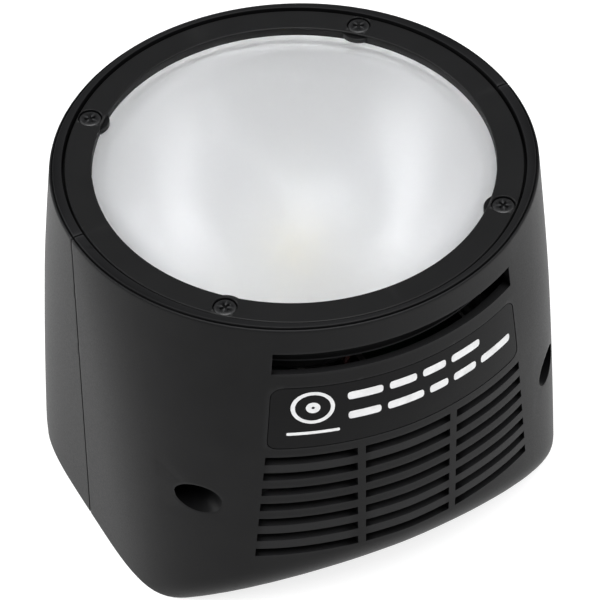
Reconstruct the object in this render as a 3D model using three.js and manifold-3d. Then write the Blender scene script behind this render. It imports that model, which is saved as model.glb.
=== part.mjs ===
// Detachable round flash head: two plastic half shells, a steel ring and a frosted glass at the front,
// a reflector with a horseshoe flash tube inside, and a contact pocket in the rear plate.
// Millimetres. +Z is the light axis and z = 0 is the rear face. The shells part at y = 0, the grille is at -Y.
import * as THREE from "three";
import { mergeVertices } from "three/addons/utils/BufferGeometryUtils.js";
import Module from "manifold-3d";

const wasm = await Module();
wasm.setup();

// ---------------------------------------------------------------- driving dimensions

const GAP = 0.3; // clearance between neighbouring pieces
const CONTACT = 0.1; // clearance under a screw head or a seated piece

// Housing: a round rim that grows flatter front and back towards the rear, where it is cut back.
const HEIGHT = 62;
const RIM_BEVEL = 0.5;
const RIM_SHRINK = 0.4; // how far that bevel leads in
const HALF_WIDTH = 38.4;
const HALF_DEPTH_AT_RIM = 37.7;
const HALF_DEPTH = 38.7;
const DEPTH_GROWTH = 26; // distance from the rim over which the half depth grows
const SIDE_EXPONENT_DROP = 0.375; // change of the section's exponent on x from rim to rear
const FACE_EXPONENT_RISE = 2.2; // the same on y
const REAR_HALF_DEPTH = 25.2;
const UNDERCUT_HEIGHT = 8.9; // where the rear cut-back would meet the sides without its rounding
const UNDERCUT_BLEND = 8.2; // size of that rounding
const WALL = 1.9;
const SECTION_SIDES = 32;
const ROUND_SIDES = 40;

// Front stack, measured down from the rim.
const LIP_RADIUS = 36.3; // inside of the rim
const RING_OUTER = 35.9;
const RING_INNER = 31.63;
const RING_TOP = HEIGHT - 0.35;
const RING_THICKNESS = 1.35;
const RING_BOSS_RADIUS = 3.05;
const RING_BOSS_HEIGHT = 0.8;
const RING_SCREW_CIRCLE = 33.9;
const RING_SCREW_SINK = 0.85; // depth of the counterbore round a ring screw
const LEDGE_INNER = 32.3;
const LEDGE_THICKNESS = 1.2;
const GLASS_RADIUS = 31.9;
const GLASS_THICKNESS = 2.5;

// Vents and label on the flat sides. Their ends lie on one line that leans out towards the rear.
const VENT_END_AT_RIM = 19.8;
const VENT_END_SLOPE = 0.095;
const VENT_CUT_DEPTH = 29; // y that the vent openings reach inside the wall
const SLOT_DEPTH_FROM_RIM = 6.95;
const SLOT_HEIGHT = 3.9;
const GRILLE_ROWS = 7;
const GRILLE_FIRST = 26.75;
const GRILLE_PITCH = 3.36;
const GRILLE_SLOT = 1.6;
const MULLION_INNER = 7.4;
const MULLION_OUTER = 8.7;
const LABEL_TOP = 11.7;
const LABEL_BOTTOM = 24.2;
const LABEL_RECESS = 0.6;
const LABEL_THICKNESS = 0.35;
const LABEL_CORNER = 1.6;

// Screws that join the shells, in deep counterbores.
const SHELL_SCREW_X = 31;
const SHELL_SCREW_Z = 25.6;
const COUNTERBORE_RADIUS = 2.75;
const COUNTERBORE_WALL = 1.5;
const COUNTERBORE_FLOOR = -8; // y of the seat under the head
const SHELL_POST_RADIUS = 3.2;
const SHELL_SCREW_LENGTH = 16;

// Rear plate and its contact pocket.
const PLATE_INSET = 2.3;
const PLATE_THICKNESS = 2.5;
const PLATE_SCREW_X = 28.5;
const PLATE_SCREW_Y = 15.5;
const PLATE_SCREW_SINK = 1.3;
const PLATE_COLUMN_RADIUS = 3;
const PLATE_COLUMN_TOP = 14;
const RIB_HALF_THICKNESS = 0.8;
const POCKET_HALF_X = 22;
const POCKET_HALF_Y = 10;
const POCKET_CEILING = 10;
const POCKET_WALL = 1.5;
const POCKET_ROOF = 2;

// Contacts.
const BLOCK_HALF_X = 15;
const BLOCK_HALF_Y = 4.5;
const BLOCK_BOTTOM = 4;
const POWER_PIN_X = 11.5;
const POWER_PIN_RADIUS = 1.5;
const SIGNAL_PIN_PITCH = 3.6;
const SIGNAL_PIN_COUNT = 4;
const SIGNAL_PIN_RADIUS = 0.7;
const COLLAR_RADIUS = 1.15;
const PIN_TIP = 1.5; // how far pin tips stay above the rear face

// Frame behind the glass.
const FRAME_INNER = 30.9;
const FRAME_THICKNESS = 1.2;
const SKIRT_INNER = 33.6;
const SKIRT_OUTER = 35.4;
const SKIRT_DROP = 1.7;
const FRAME_COLUMN_RADIUS = 1.65;

// Lamp.
const TUBE_ARC_RADIUS = 10.8;
const TUBE_RADIUS = 2.6;
const TUBE_HEIGHT = 44;
const TUBE_GAP_ANGLE = 25; // half the gap of the horseshoe, degrees
const LAMP_BASE_RADIUS = 14.3;
const LAMP_BASE_TOP = 33;
const LAMP_BASE_THICKNESS = 4;
const REFLECTOR_THICKNESS = 0.6;
const REFLECTOR_MOUTH = 30;
const BAND_HALF_WIDTH = 1.2;
const BAND_THICKNESS = 0.5;
const LED_POST_TOP = 39;
const LED_POST_RADIUS = 3;
const LEAD_RADIUS = 0.6;
const TRIGGER_LEAD_RADIUS = 0.45;
const LEAD_HOLE_RADIUS = 0.9;

// Driver board.
const BOARD_BOTTOM = 17;
const BOARD_THICKNESS = 1.6;
const BOARD_HALF_X = 25;
const BOARD_HALF_Y = 14;
const BOARD_SCREW_X = 20;
const BOARD_POST_RADIUS = 2.4;
const COIL_RADIUS = 4.5;
const COIL_HEIGHT = 8.8;
const COIL_FLANGE = 1.2;
const SOCKET_CAVITY_FLOOR = 1.5; // above the underside of the lead socket
const SCREW_HOLE = 1.3; // clearance hole of an M2 screw
const THREAD_HOLE = 1.15; // hole that such a screw cuts its thread into

// Levels that follow from the sizes above.
const RING_BOTTOM = RING_TOP - RING_THICKNESS;
const LEDGE_TOP = RING_BOTTOM - GAP;
const LEDGE_BOTTOM = LEDGE_TOP - LEDGE_THICKNESS;
const GLASS_TOP = RING_BOTTOM - GAP;
const GLASS_BOTTOM = GLASS_TOP - GLASS_THICKNESS;
const REFLECTOR_TOP = GLASS_BOTTOM - GAP;
const REFLECTOR_LIP = REFLECTOR_TOP - 0.5;
const GASKET_TOP = REFLECTOR_LIP - GAP;
const GASKET_BOTTOM = GASKET_TOP - 0.5;
const FRAME_TOP = GASKET_BOTTOM - GAP;
const FRAME_BOTTOM = FRAME_TOP - FRAME_THICKNESS;
const SLOT_Z = HEIGHT - SLOT_DEPTH_FROM_RIM;
const RING_SCREW_ANGLES = [45, 135, 225, 315];
const BLOCK_TOP = POCKET_CEILING - GAP;
const BOARD_TOP = BOARD_BOTTOM + BOARD_THICKNESS;
const LAMP_BASE_BOTTOM = LAMP_BASE_TOP - LAMP_BASE_THICKNESS;

// ---------------------------------------------------------------- materials

function material(color, roughness, metalness, extra = {}) {
  return new THREE.MeshStandardMaterial({ color, roughness, metalness, ...extra });
}

const BLACK_PLASTIC = material(0x17171a, 0.55, 0);
const BLACK_STEEL = material(0x121214, 0.42, 0.6);
const SCREW_BLACK = material(0x1b1b1d, 0.35, 0.8);
const FROSTED_GLASS = material(0xdfe1e4, 0.5, 0, { transparent: true, opacity: 0.6 });
const SILICONE = material(0xb9b6b0, 0.8, 0);
const MIRROR = material(0xdcdcdc, 0.15, 1);
const CERAMIC = material(0xece8de, 0.6, 0);
const QUARTZ = material(0xe9edf2, 0.1, 0, { transparent: true, opacity: 0.5 });
const STEEL = material(0xa8a9ac, 0.35, 1);
const GOLD_CONTACT = material(0xc9a24a, 0.3, 1);
const BOARD_GREEN = material(0x1f4a2e, 0.6, 0);
const PART_BLACK = material(0x202024, 0.5, 0);
const COPPER_TAPE = material(0xc08a2e, 0.5, 0);
const LED_YELLOW = material(0xe8d25a, 0.4, 0);
const LABEL_FILM = material(0x101012, 0.3, 0);
const LEAD_RED = material(0x9c1f1a, 0.5, 0);
const LEAD_WHITE = material(0xd9d7cf, 0.6, 0);

// ---------------------------------------------------------------- solids

function solid(geometry) {
  const bare = (geometry.index ? geometry.toNonIndexed() : geometry.clone());
  bare.deleteAttribute("normal");
  bare.deleteAttribute("uv");
  const merged = mergeVertices(bare, 1e-4);
  return new wasm.Manifold(new wasm.Mesh({
    numProp: 3,
    vertProperties: new Float32Array(merged.attributes.position.array),
    triVerts: new Uint32Array(merged.index.array),
  }));
}

function geometryOf(shape) {
  const mesh = shape.getMesh();
  const geometry = new THREE.BufferGeometry();
  geometry.setAttribute("position", new THREE.BufferAttribute(new Float32Array(mesh.vertProperties), 3));
  geometry.setIndex(new THREE.BufferAttribute(new Uint32Array(mesh.triVerts), 1));
  geometry.computeVertexNormals();
  return geometry;
}

function moved(shape, matrix) {
  return solid(geometryOf(shape).applyMatrix4(matrix));
}

function join(...shapes) {
  return shapes.reduce((sum, shape) => sum.add(shape));
}

function cut(shape, ...tools) {
  return tools.reduce((rest, tool) => rest.subtract(tool), shape);
}

// A box between two corners.
function box(x0, x1, y0, y1, z0, z1) {
  const geometry = new THREE.BoxGeometry(x1 - x0, y1 - y0, z1 - z0);
  geometry.translate((x0 + x1) / 2, (y0 + y1) / 2, (z0 + z1) / 2);
  return solid(geometry);
}

// A cylinder along Z.
function rod(radius, z0, z1, x = 0, y = 0, sides = 16) {
  const geometry = new THREE.CylinderGeometry(radius, radius, z1 - z0, sides);
  geometry.rotateX(Math.PI / 2);
  geometry.translate(x, y, (z0 + z1) / 2);
  return solid(geometry);
}

// A cylinder along Y.
function rodAlongY(radius, y0, y1, x, z, sides = 16) {
  const geometry = new THREE.CylinderGeometry(radius, radius, y1 - y0, sides);
  geometry.translate(x, (y0 + y1) / 2, z);
  return solid(geometry);
}

// A profile of [radius, z] points turned round the Z axis, from the lowest point outwards and up.
function turned(profile, sides) {
  const points = profile.map(([r, z]) => new THREE.Vector2(r, z));
  const geometry = new THREE.LatheGeometry(points, sides);
  geometry.rotateX(Math.PI / 2);
  return solid(geometry);
}

// A turned piece with a hole in the middle: the profile closes on itself.
function turnedRing(profile, sides) {
  return turned([...profile, profile[0]], sides);
}

// A closed skin through rings of equally many points, from low to high.
function loft(rings) {
  const count = rings[0].length;
  const positions = [];
  const index = [];
  rings.flat().forEach((p) => positions.push(p.x, p.y, p.z));
  for (let level = 0; level + 1 < rings.length; level++) {
    for (let i = 0; i < count; i++) {
      const a = level * count + i;
      const b = level * count + ((i + 1) % count);
      index.push(a, b, b + count, a, b + count, a + count);
    }
  }
  const top = (rings.length - 1) * count;
  const low = positions.length / 3;
  positions.push(0, 0, rings[0][0].z, 0, 0, rings[rings.length - 1][0].z);
  for (let i = 0; i < count; i++) {
    const next = (i + 1) % count;
    index.push(low, next, i);
    index.push(low + 1, top + i, top + next);
  }
  const geometry = new THREE.BufferGeometry();
  geometry.setAttribute("position", new THREE.Float32BufferAttribute(positions, 3));
  geometry.setIndex(index);
  return solid(geometry);
}

// A round wire or tube along a smooth curve through points.
function wire(points, radius, sides, steps, curve = new THREE.CatmullRomCurve3(points)) {
  const section = new THREE.Shape();
  for (let i = 0; i < sides; i++) {
    const angle = (2 * Math.PI * i) / sides;
    const x = radius * Math.cos(angle);
    const y = radius * Math.sin(angle);
    if (i === 0) section.moveTo(x, y);
    else section.lineTo(x, y);
  }
  section.closePath();
  return solid(new THREE.ExtrudeGeometry(section, { steps, bevelEnabled: false, extrudePath: curve }));
}

function vector(x, y, z) {
  return new THREE.Vector3(x, y, z);
}

// ---------------------------------------------------------------- housing section

// The smaller of two lengths, with a rounded change-over of the given size.
function smoothMin(a, b, size) {
  const near = Math.max(size - Math.abs(a - b), 0) / size;
  return Math.min(a, b) - (near * near * size) / 4;
}

// Distance from the axis at which |x / a| ** p + |y / b| ** q reaches 1, in the direction (c, s).
function outlineRadius(c, s, a, b, p, q) {
  let low = 0;
  let high = 2 * HALF_WIDTH;
  for (let step = 0; step < 40; step++) {
    const r = (low + high) / 2;
    if (Math.abs((r * c) / a) ** p + Math.abs((r * s) / b) ** q > 1) high = r;
    else low = r;
  }
  return low;
}

// The housing's outline at height z, moved inwards by inset.
function section(z, inset) {
  const depth = (HEIGHT - z) / HEIGHT;
  const p = 2 - SIDE_EXPONENT_DROP * depth;
  const q = 2 + FACE_EXPONENT_RISE * depth;
  const growth = THREE.MathUtils.smoothstep(HEIGHT - z, 0, DEPTH_GROWTH);
  const margin = inset + RIM_SHRINK * Math.max(0, (z - HEIGHT) / RIM_BEVEL + 1);
  const a = HALF_WIDTH - margin;
  const b = THREE.MathUtils.lerp(HALF_DEPTH_AT_RIM, HALF_DEPTH, growth) - margin;
  const lean = (HALF_DEPTH - REAR_HALF_DEPTH) / UNDERCUT_HEIGHT;
  const limit = REAR_HALF_DEPTH + lean * z - inset * Math.hypot(1, lean);
  const ring = [];
  for (let i = 0; i < SECTION_SIDES; i++) {
    const angle = (2 * Math.PI * i) / SECTION_SIDES;
    const c = Math.cos(angle);
    const s = Math.sin(angle);
    const r = outlineRadius(c, s, a, b, p, q);
    ring.push(vector(r * c, Math.sign(s) * smoothMin(Math.abs(r * s), limit, UNDERCUT_BLEND), z));
  }
  return ring;
}

function housing(inset, levels) {
  return loft(levels.map((z) => section(z, inset)));
}

const OUTER_LEVELS = [0, 3, 6, 9, 12, 16, 30, 45, 54, HEIGHT - RIM_BEVEL, HEIGHT];
const CAVITY_LEVELS = [PLATE_THICKNESS + GAP, 6, 10, 15, 30, 45, 54, LEDGE_BOTTOM];
const plateOutline = section(0, PLATE_INSET);
const pocketOutline = section(0, PLATE_INSET - GAP);

function prism(outline, z0, z1) {
  return loft([z0, z1].map((z) => outline.map((p) => vector(p.x, p.y, z))));
}

// Half the width of the vents and the label at a depth below the rim.
function ventEnd(depth) {
  return VENT_END_AT_RIM + VENT_END_SLOPE * depth;
}

// ---------------------------------------------------------------- vents, label, screw holes

// Turns a shape made for the -Y side round to the +Y side.
function onFarSide(shape) {
  return moved(shape, new THREE.Matrix4().makeRotationZ(Math.PI));
}

function ventTools() {
  const reach = HALF_DEPTH + 4;
  const slotEnd = ventEnd(SLOT_DEPTH_FROM_RIM);
  const depthY = -VENT_CUT_DEPTH;
  const slotLow = SLOT_Z - SLOT_HEIGHT / 2;
  const tools = [box(-slotEnd, slotEnd, -reach, depthY, slotLow, slotLow + SLOT_HEIGHT)];
  for (let row = 0; row < GRILLE_ROWS; row++) {
    const depth = GRILLE_FIRST + row * GRILLE_PITCH;
    const z0 = HEIGHT - depth - GRILLE_SLOT / 2;
    const z1 = z0 + GRILLE_SLOT;
    const end = ventEnd(depth);
    tools.push(box(-end, -MULLION_OUTER, -reach, depthY, z0, z1));
    tools.push(box(-MULLION_INNER, MULLION_INNER, -reach, depthY, z0, z1));
    tools.push(box(MULLION_OUTER, end, -reach, depthY, z0, z1));
  }
  return join(...tools);
}

// The label's outline with rounded corners as a prism along -Y, smaller by the given margin.
function labelPrism(margin) {
  const z0 = HEIGHT - LABEL_BOTTOM + margin;
  const z1 = HEIGHT - LABEL_TOP - margin;
  const corners = [
    [-ventEnd(LABEL_BOTTOM) + margin, z0],
    [ventEnd(LABEL_BOTTOM) - margin, z0],
    [ventEnd(LABEL_TOP) - margin, z1],
    [-ventEnd(LABEL_TOP) + margin, z1],
  ].map(([x, z]) => new THREE.Vector2(x, z));
  const outline = new THREE.Shape();
  corners.forEach((corner, i) => {
    const before = corners[(i + 3) % 4];
    const after = corners[(i + 1) % 4];
    const from = corner.clone().add(before.clone().sub(corner).setLength(LABEL_CORNER));
    const to = corner.clone().add(after.clone().sub(corner).setLength(LABEL_CORNER));
    if (i === 0) outline.moveTo(from.x, from.y);
    else outline.lineTo(from.x, from.y);
    outline.quadraticCurveTo(corner.x, corner.y, to.x, to.y);
  });
  outline.closePath();
  const geometry = new THREE.ExtrudeGeometry(outline, { depth: 20, bevelEnabled: false, curveSegments: 4 });
  geometry.rotateX(Math.PI / 2);
  geometry.translate(0, -26, 0);
  return solid(geometry);
}

const LABEL_LEVELS = [30, 45, 54];

function labelRecess() {
  return cut(labelPrism(0), housing(LABEL_RECESS, LABEL_LEVELS));
}

function labelPlate() {
  const face = LABEL_RECESS - LABEL_THICKNESS - CONTACT;
  const body = labelPrism(GAP).intersect(housing(face, LABEL_LEVELS));
  return cut(body, housing(face + LABEL_THICKNESS, LABEL_LEVELS));
}

// ---------------------------------------------------------------- shells

// Column for a rear plate screw, tied to the wall by a rib.
function plateScrewColumn(x, y) {
  const wallY = Math.sign(y) * HALF_DEPTH;
  const low = PLATE_THICKNESS + GAP;
  const high = PLATE_COLUMN_TOP;
  const column = rod(PLATE_COLUMN_RADIUS, low, high, x, y);
  const half = RIB_HALF_THICKNESS;
  const rib = box(x - half, x + half, Math.min(y, wallY), Math.max(y, wallY), low, high);
  return cut(join(column, rib), rod(THREAD_HOLE, low - 1, high - 2, x, y, 12));
}

function shellSolid() {
  const outer = housing(0, OUTER_LEVELS);
  const hollow = join(
    housing(WALL, CAVITY_LEVELS),
    prism(pocketOutline, -1, PLATE_THICKNESS + GAP + 0.05),
    rod(LEDGE_INNER, LEDGE_BOTTOM - 1, HEIGHT, 0, 0, ROUND_SIDES),
    rod(LIP_RADIUS, LEDGE_TOP, HEIGHT + 1, 0, 0, ROUND_SIDES),
  );
  const inside = [];
  for (const x of [-PLATE_SCREW_X, PLATE_SCREW_X]) {
    inside.push(plateScrewColumn(x, -PLATE_SCREW_Y));
    inside.push(plateScrewColumn(x, PLATE_SCREW_Y));
  }
  for (const x of [-SHELL_SCREW_X, SHELL_SCREW_X]) {
    inside.push(rodAlongY(COUNTERBORE_RADIUS + COUNTERBORE_WALL, -40, 0, x, SHELL_SCREW_Z));
    inside.push(rodAlongY(SHELL_POST_RADIUS, 0, 40, x, SHELL_SCREW_Z));
  }
  const walls = join(cut(outer, hollow), join(...inside).intersect(outer));
  const holes = RING_SCREW_ANGLES.map((degrees) => {
    const angle = THREE.MathUtils.degToRad(degrees);
    return rod(SCREW_HOLE, LEDGE_BOTTOM - 1, LEDGE_TOP + 1, RING_SCREW_CIRCLE * Math.cos(angle),
      RING_SCREW_CIRCLE * Math.sin(angle), 10);
  });
  return cut(walls, ...holes, ventTools(), onFarSide(ventTools()), labelRecess(), onFarSide(labelRecess()));
}

function nearShell(shell) {
  const half = shell.intersect(box(-50, 50, -50, -GAP / 2, -5, 70));
  const tools = [];
  for (const x of [-SHELL_SCREW_X, SHELL_SCREW_X]) {
    tools.push(rodAlongY(COUNTERBORE_RADIUS, -45, COUNTERBORE_FLOOR, x, SHELL_SCREW_Z, 24));
    tools.push(rodAlongY(SCREW_HOLE, -45, 5, x, SHELL_SCREW_Z, 12));
  }
  return cut(half, ...tools);
}

function farShell(shell) {
  const half = shell.intersect(box(-50, 50, GAP / 2, 50, -5, 70));
  const bore = (x) => rodAlongY(SCREW_HOLE, -5, 12, x, SHELL_SCREW_Z, 12);
  return cut(half, bore(-SHELL_SCREW_X), bore(SHELL_SCREW_X));
}

// ---------------------------------------------------------------- screws

// A screw along +Z with the seat of its head at z = 0, a domed head and a cross recess.
function screw(headRadius, headHeight, shankRadius, length) {
  const body = turned([
    [0, -length],
    [shankRadius, -length],
    [shankRadius, 0],
    [headRadius, 0],
    [headRadius, headHeight * 0.6],
    [headRadius * 0.75, headHeight],
    [0, headHeight],
  ], 10);
  const arm = headRadius * 0.55;
  const slot = headRadius * 0.14;
  const floor = headHeight * 0.45;
  return cut(body, box(-arm, arm, -slot, slot, floor, 5), box(-slot, slot, -arm, arm, floor, 5));
}

// ---------------------------------------------------------------- front

function frontRing() {
  const edge = 0.25;
  let ring = turnedRing([
    [RING_INNER, RING_BOTTOM],
    [RING_OUTER, RING_BOTTOM],
    [RING_OUTER, RING_TOP - edge],
    [RING_OUTER - edge, RING_TOP],
    [RING_INNER + edge, RING_TOP],
    [RING_INNER, RING_TOP - edge],
  ], ROUND_SIDES);
  for (const degrees of RING_SCREW_ANGLES) {
    const angle = THREE.MathUtils.degToRad(degrees);
    const x = RING_SCREW_CIRCLE * Math.cos(angle);
    const y = RING_SCREW_CIRCLE * Math.sin(angle);
    const boss = rod(RING_BOSS_RADIUS, RING_BOTTOM, RING_BOTTOM + RING_BOSS_HEIGHT, x, y, 20);
    ring = join(ring, boss.intersect(rod(RING_OUTER - edge, 0, HEIGHT, 0, 0, ROUND_SIDES)));
    const sink = rod(2, RING_TOP - RING_SCREW_SINK, HEIGHT, x, y, 20);
    ring = cut(ring, sink, rod(SCREW_HOLE, 0, HEIGHT, x, y, 12));
  }
  return ring;
}

function frontGlass() {
  const edge = 0.3;
  return turned([
    [0, GLASS_BOTTOM],
    [GLASS_RADIUS - edge, GLASS_BOTTOM],
    [GLASS_RADIUS, GLASS_BOTTOM + edge],
    [GLASS_RADIUS, GLASS_TOP - edge],
    [GLASS_RADIUS - edge, GLASS_TOP],
    [0, GLASS_TOP],
  ], ROUND_SIDES);
}

// Frame that carries the glass from behind: a flange, a skirt behind the vent slot and four screw columns.
function lampFrame() {
  let frame = turnedRing([
    [FRAME_INNER, FRAME_BOTTOM],
    [SKIRT_INNER, FRAME_BOTTOM],
    [SKIRT_INNER, FRAME_BOTTOM - SKIRT_DROP],
    [SKIRT_OUTER, FRAME_BOTTOM - SKIRT_DROP],
    [SKIRT_OUTER, FRAME_TOP],
    [FRAME_INNER, FRAME_TOP],
  ], 32);
  for (const degrees of RING_SCREW_ANGLES) {
    const angle = THREE.MathUtils.degToRad(degrees);
    const x = RING_SCREW_CIRCLE * Math.cos(angle);
    const y = RING_SCREW_CIRCLE * Math.sin(angle);
    const column = rod(FRAME_COLUMN_RADIUS, FRAME_BOTTOM, LEDGE_BOTTOM - GAP, x, y, 12);
    frame = cut(join(frame, column), rod(THREAD_HOLE, FRAME_BOTTOM + 0.6, HEIGHT, x, y, 10));
  }
  return frame;
}

function glassGasket() {
  return turnedRing([
    [FRAME_INNER, GASKET_BOTTOM],
    [GLASS_RADIUS, GASKET_BOTTOM],
    [GLASS_RADIUS, GASKET_TOP],
    [FRAME_INNER, GASKET_TOP],
  ], 24);
}

// Parabolic bowl with a flat lip at the mouth and an open bottom for the lamp base.
function reflector() {
  const steps = 4;
  const bottom = LAMP_BASE_RADIUS + GAP;
  const growth = (REFLECTOR_MOUTH ** 2 - bottom ** 2) / (REFLECTOR_LIP - LAMP_BASE_TOP);
  const curve = [];
  for (let i = 0; i <= steps; i++) {
    const z = LAMP_BASE_TOP + ((REFLECTOR_LIP - LAMP_BASE_TOP) * i) / steps;
    curve.push([Math.sqrt(bottom ** 2 + growth * (z - LAMP_BASE_TOP)), z]);
  }
  const outside = curve.map(([r, z]) => [r + REFLECTOR_THICKNESS, z]);
  const inside = [...curve].reverse();
  const lip = [[GLASS_RADIUS - 0.2, REFLECTOR_LIP], [GLASS_RADIUS - 0.2, REFLECTOR_TOP]];
  return turnedRing([...outside, ...lip, [REFLECTOR_MOUTH, REFLECTOR_TOP], ...inside], 28);
}

// ---------------------------------------------------------------- lamp

const TUBE_START = THREE.MathUtils.degToRad(-90 + TUBE_GAP_ANGLE);
const TUBE_SWEEP = 2 * Math.PI - 2 * THREE.MathUtils.degToRad(TUBE_GAP_ANGLE);
const LEG_X = TUBE_ARC_RADIUS * Math.cos(TUBE_START);
const LEG_Y = TUBE_ARC_RADIUS * Math.sin(TUBE_START);
const LEG_BOTTOM = LAMP_BASE_TOP - 2;

// Horseshoe tube: a leg up, an arc round the light axis, and a leg down.
function flashTube() {
  const points = [vector(LEG_X, LEG_Y, LEG_BOTTOM), vector(LEG_X, LEG_Y, LEG_BOTTOM + 5),
    vector(LEG_X, LEG_Y, TUBE_HEIGHT - 4)];
  const arcSteps = 12;
  for (let i = 1; i < arcSteps; i++) {
    const angle = TUBE_START + (TUBE_SWEEP * i) / arcSteps;
    points.push(vector(TUBE_ARC_RADIUS * Math.cos(angle), TUBE_ARC_RADIUS * Math.sin(angle), TUBE_HEIGHT));
  }
  points.push(vector(-LEG_X, LEG_Y, TUBE_HEIGHT - 4), vector(-LEG_X, LEG_Y, LEG_BOTTOM + 5),
    vector(-LEG_X, LEG_Y, LEG_BOTTOM));
  return wire(points, TUBE_RADIUS, 8, 32);
}

// Ceramic disc with sockets for the tube's legs and a hole for the trigger lead.
function lampBase() {
  const disc = turned([
    [0, LAMP_BASE_BOTTOM],
    [LAMP_BASE_RADIUS - 1, LAMP_BASE_BOTTOM],
    [LAMP_BASE_RADIUS, LAMP_BASE_BOTTOM + 1],
    [LAMP_BASE_RADIUS, LAMP_BASE_TOP],
    [0, LAMP_BASE_TOP],
  ], 32);
  const socket = TUBE_RADIUS + GAP;
  return cut(
    disc,
    rod(socket, LEG_BOTTOM - GAP, LAMP_BASE_TOP + 1, LEG_X, LEG_Y),
    rod(socket, LEG_BOTTOM - GAP, LAMP_BASE_TOP + 1, -LEG_X, LEG_Y),
    rod(LEAD_HOLE_RADIUS, 0, LAMP_BASE_TOP + 1, 0, TUBE_ARC_RADIUS, 10),
    rod(LEAD_HOLE_RADIUS, 0, LEG_BOTTOM - GAP + 0.1, LEG_X, LEG_Y, 10),
    rod(LEAD_HOLE_RADIUS, 0, LEG_BOTTOM - GAP + 0.1, -LEG_X, LEG_Y, 10),
  );
}

// Clip band round the top of the horseshoe, where the trigger lead is fixed.
function triggerBand() {
  const inner = TUBE_RADIUS + GAP;
  const outer = inner + BAND_THICKNESS;
  const band = turnedRing([
    [inner, -BAND_HALF_WIDTH],
    [outer, -BAND_HALF_WIDTH],
    [outer, BAND_HALF_WIDTH],
    [inner, BAND_HALF_WIDTH],
  ], 16);
  return moved(band, new THREE.Matrix4().makeRotationY(Math.PI / 2));
}

function ledPost() {
  const foot = LED_POST_RADIUS + 1.2;
  return turned([
    [0, LAMP_BASE_TOP + CONTACT],
    [foot, LAMP_BASE_TOP + CONTACT],
    [foot, LAMP_BASE_TOP + 1],
    [LED_POST_RADIUS, LAMP_BASE_TOP + 1.6],
    [LED_POST_RADIUS, LED_POST_TOP],
    [0, LED_POST_TOP],
  ], 20);
}

function modellingLed() {
  const low = LED_POST_TOP + CONTACT;
  return join(box(-2.5, 2.5, -2.5, 2.5, low, low + 0.9), rod(1.9, low + 0.5, low + 1.3, 0, 0, 20));
}

// ---------------------------------------------------------------- electronics

function driverBoard() {
  const board = box(-BOARD_HALF_X, BOARD_HALF_X, -BOARD_HALF_Y, BOARD_HALF_Y, BOARD_BOTTOM, BOARD_TOP);
  const holes = [-BOARD_SCREW_X, BOARD_SCREW_X].map((x) => rod(SCREW_HOLE, 0, HEIGHT, x, 0, 12));
  return cut(board, ...holes);
}

function triggerCoil() {
  const low = BOARD_TOP + CONTACT;
  const high = low + COIL_HEIGHT;
  const winding = COIL_RADIUS - 0.8;
  return turned([
    [0, low],
    [COIL_RADIUS, low],
    [COIL_RADIUS, low + COIL_FLANGE],
    [winding, low + COIL_FLANGE],
    [winding, high - COIL_FLANGE],
    [COIL_RADIUS, high - COIL_FLANGE],
    [COIL_RADIUS, high],
    [0, high],
  ], 20);
}

function triggerCapacitor() {
  const low = BOARD_TOP + CONTACT;
  const outline = new THREE.Shape();
  outline.moveTo(-6, -3).lineTo(6, -3).lineTo(6.6, -2.4).lineTo(6.6, 2.4).lineTo(6, 3).lineTo(-6, 3);
  outline.lineTo(-6.6, 2.4).lineTo(-6.6, -2.4).closePath();
  const options = { depth: 6.8, bevelThickness: 0.6, bevelSize: 0.4, bevelSegments: 1 };
  const geometry = new THREE.ExtrudeGeometry(outline, options);
  geometry.translate(-11, 7, low + 0.6);
  return solid(geometry);
}

function leadSocket() {
  const low = BOARD_TOP + CONTACT;
  const floor = low + SOCKET_CAVITY_FLOOR;
  const body = box(-7, 7, -12, -7, low, low + 5);
  return cut(body, box(-6, -1, -11.2, -7.8, floor, low + 6), box(1, 6, -11.2, -7.8, floor, low + 6));
}

// ---------------------------------------------------------------- rear plate and contacts

function basePlate() {
  const roof = POCKET_CEILING + POCKET_ROOF;
  const tubX = POCKET_HALF_X + POCKET_WALL;
  const tubY = POCKET_HALF_Y + POCKET_WALL;
  const body = join(
    prism(plateOutline, 0, PLATE_THICKNESS),
    box(-tubX, tubX, -tubY, tubY, 0, roof),
    rod(BOARD_POST_RADIUS, roof - 1, BOARD_BOTTOM - CONTACT, -BOARD_SCREW_X, 0),
    rod(BOARD_POST_RADIUS, roof - 1, BOARD_BOTTOM - CONTACT, BOARD_SCREW_X, 0),
  );
  const tools = [box(-POCKET_HALF_X, POCKET_HALF_X, -POCKET_HALF_Y, POCKET_HALF_Y, -1, POCKET_CEILING)];
  for (const side of [-1, 1]) {
    const latch = side * (POCKET_HALF_X + POCKET_WALL / 2);
    tools.push(box(latch - 2, latch + 2, -3, 3, 4, 7));
    tools.push(rod(THREAD_HOLE, roof + 0.5, BOARD_BOTTOM + 1, side * BOARD_SCREW_X, 0, 12));
    tools.push(rod(POWER_PIN_RADIUS + GAP, 0, roof + 1, side * POWER_PIN_X, 0));
    for (const y of [-PLATE_SCREW_Y, PLATE_SCREW_Y]) {
      tools.push(rod(SCREW_HOLE, -1, PLATE_THICKNESS + 1, side * PLATE_SCREW_X, y, 12));
      tools.push(rod(2.4, -1, PLATE_SCREW_SINK, side * PLATE_SCREW_X, y, 20));
    }
  }
  return cut(body, ...tools);
}

function signalPinX(number) {
  return (number - (SIGNAL_PIN_COUNT + 1) / 2) * SIGNAL_PIN_PITCH;
}

const SHOULDER = BLOCK_BOTTOM + 0.7;
const BORE_TOP = BLOCK_TOP - 0.5;
const COLLAR_BOTTOM = SHOULDER + 0.2;
const COLLAR_TOP = COLLAR_BOTTOM + 0.6;

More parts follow.
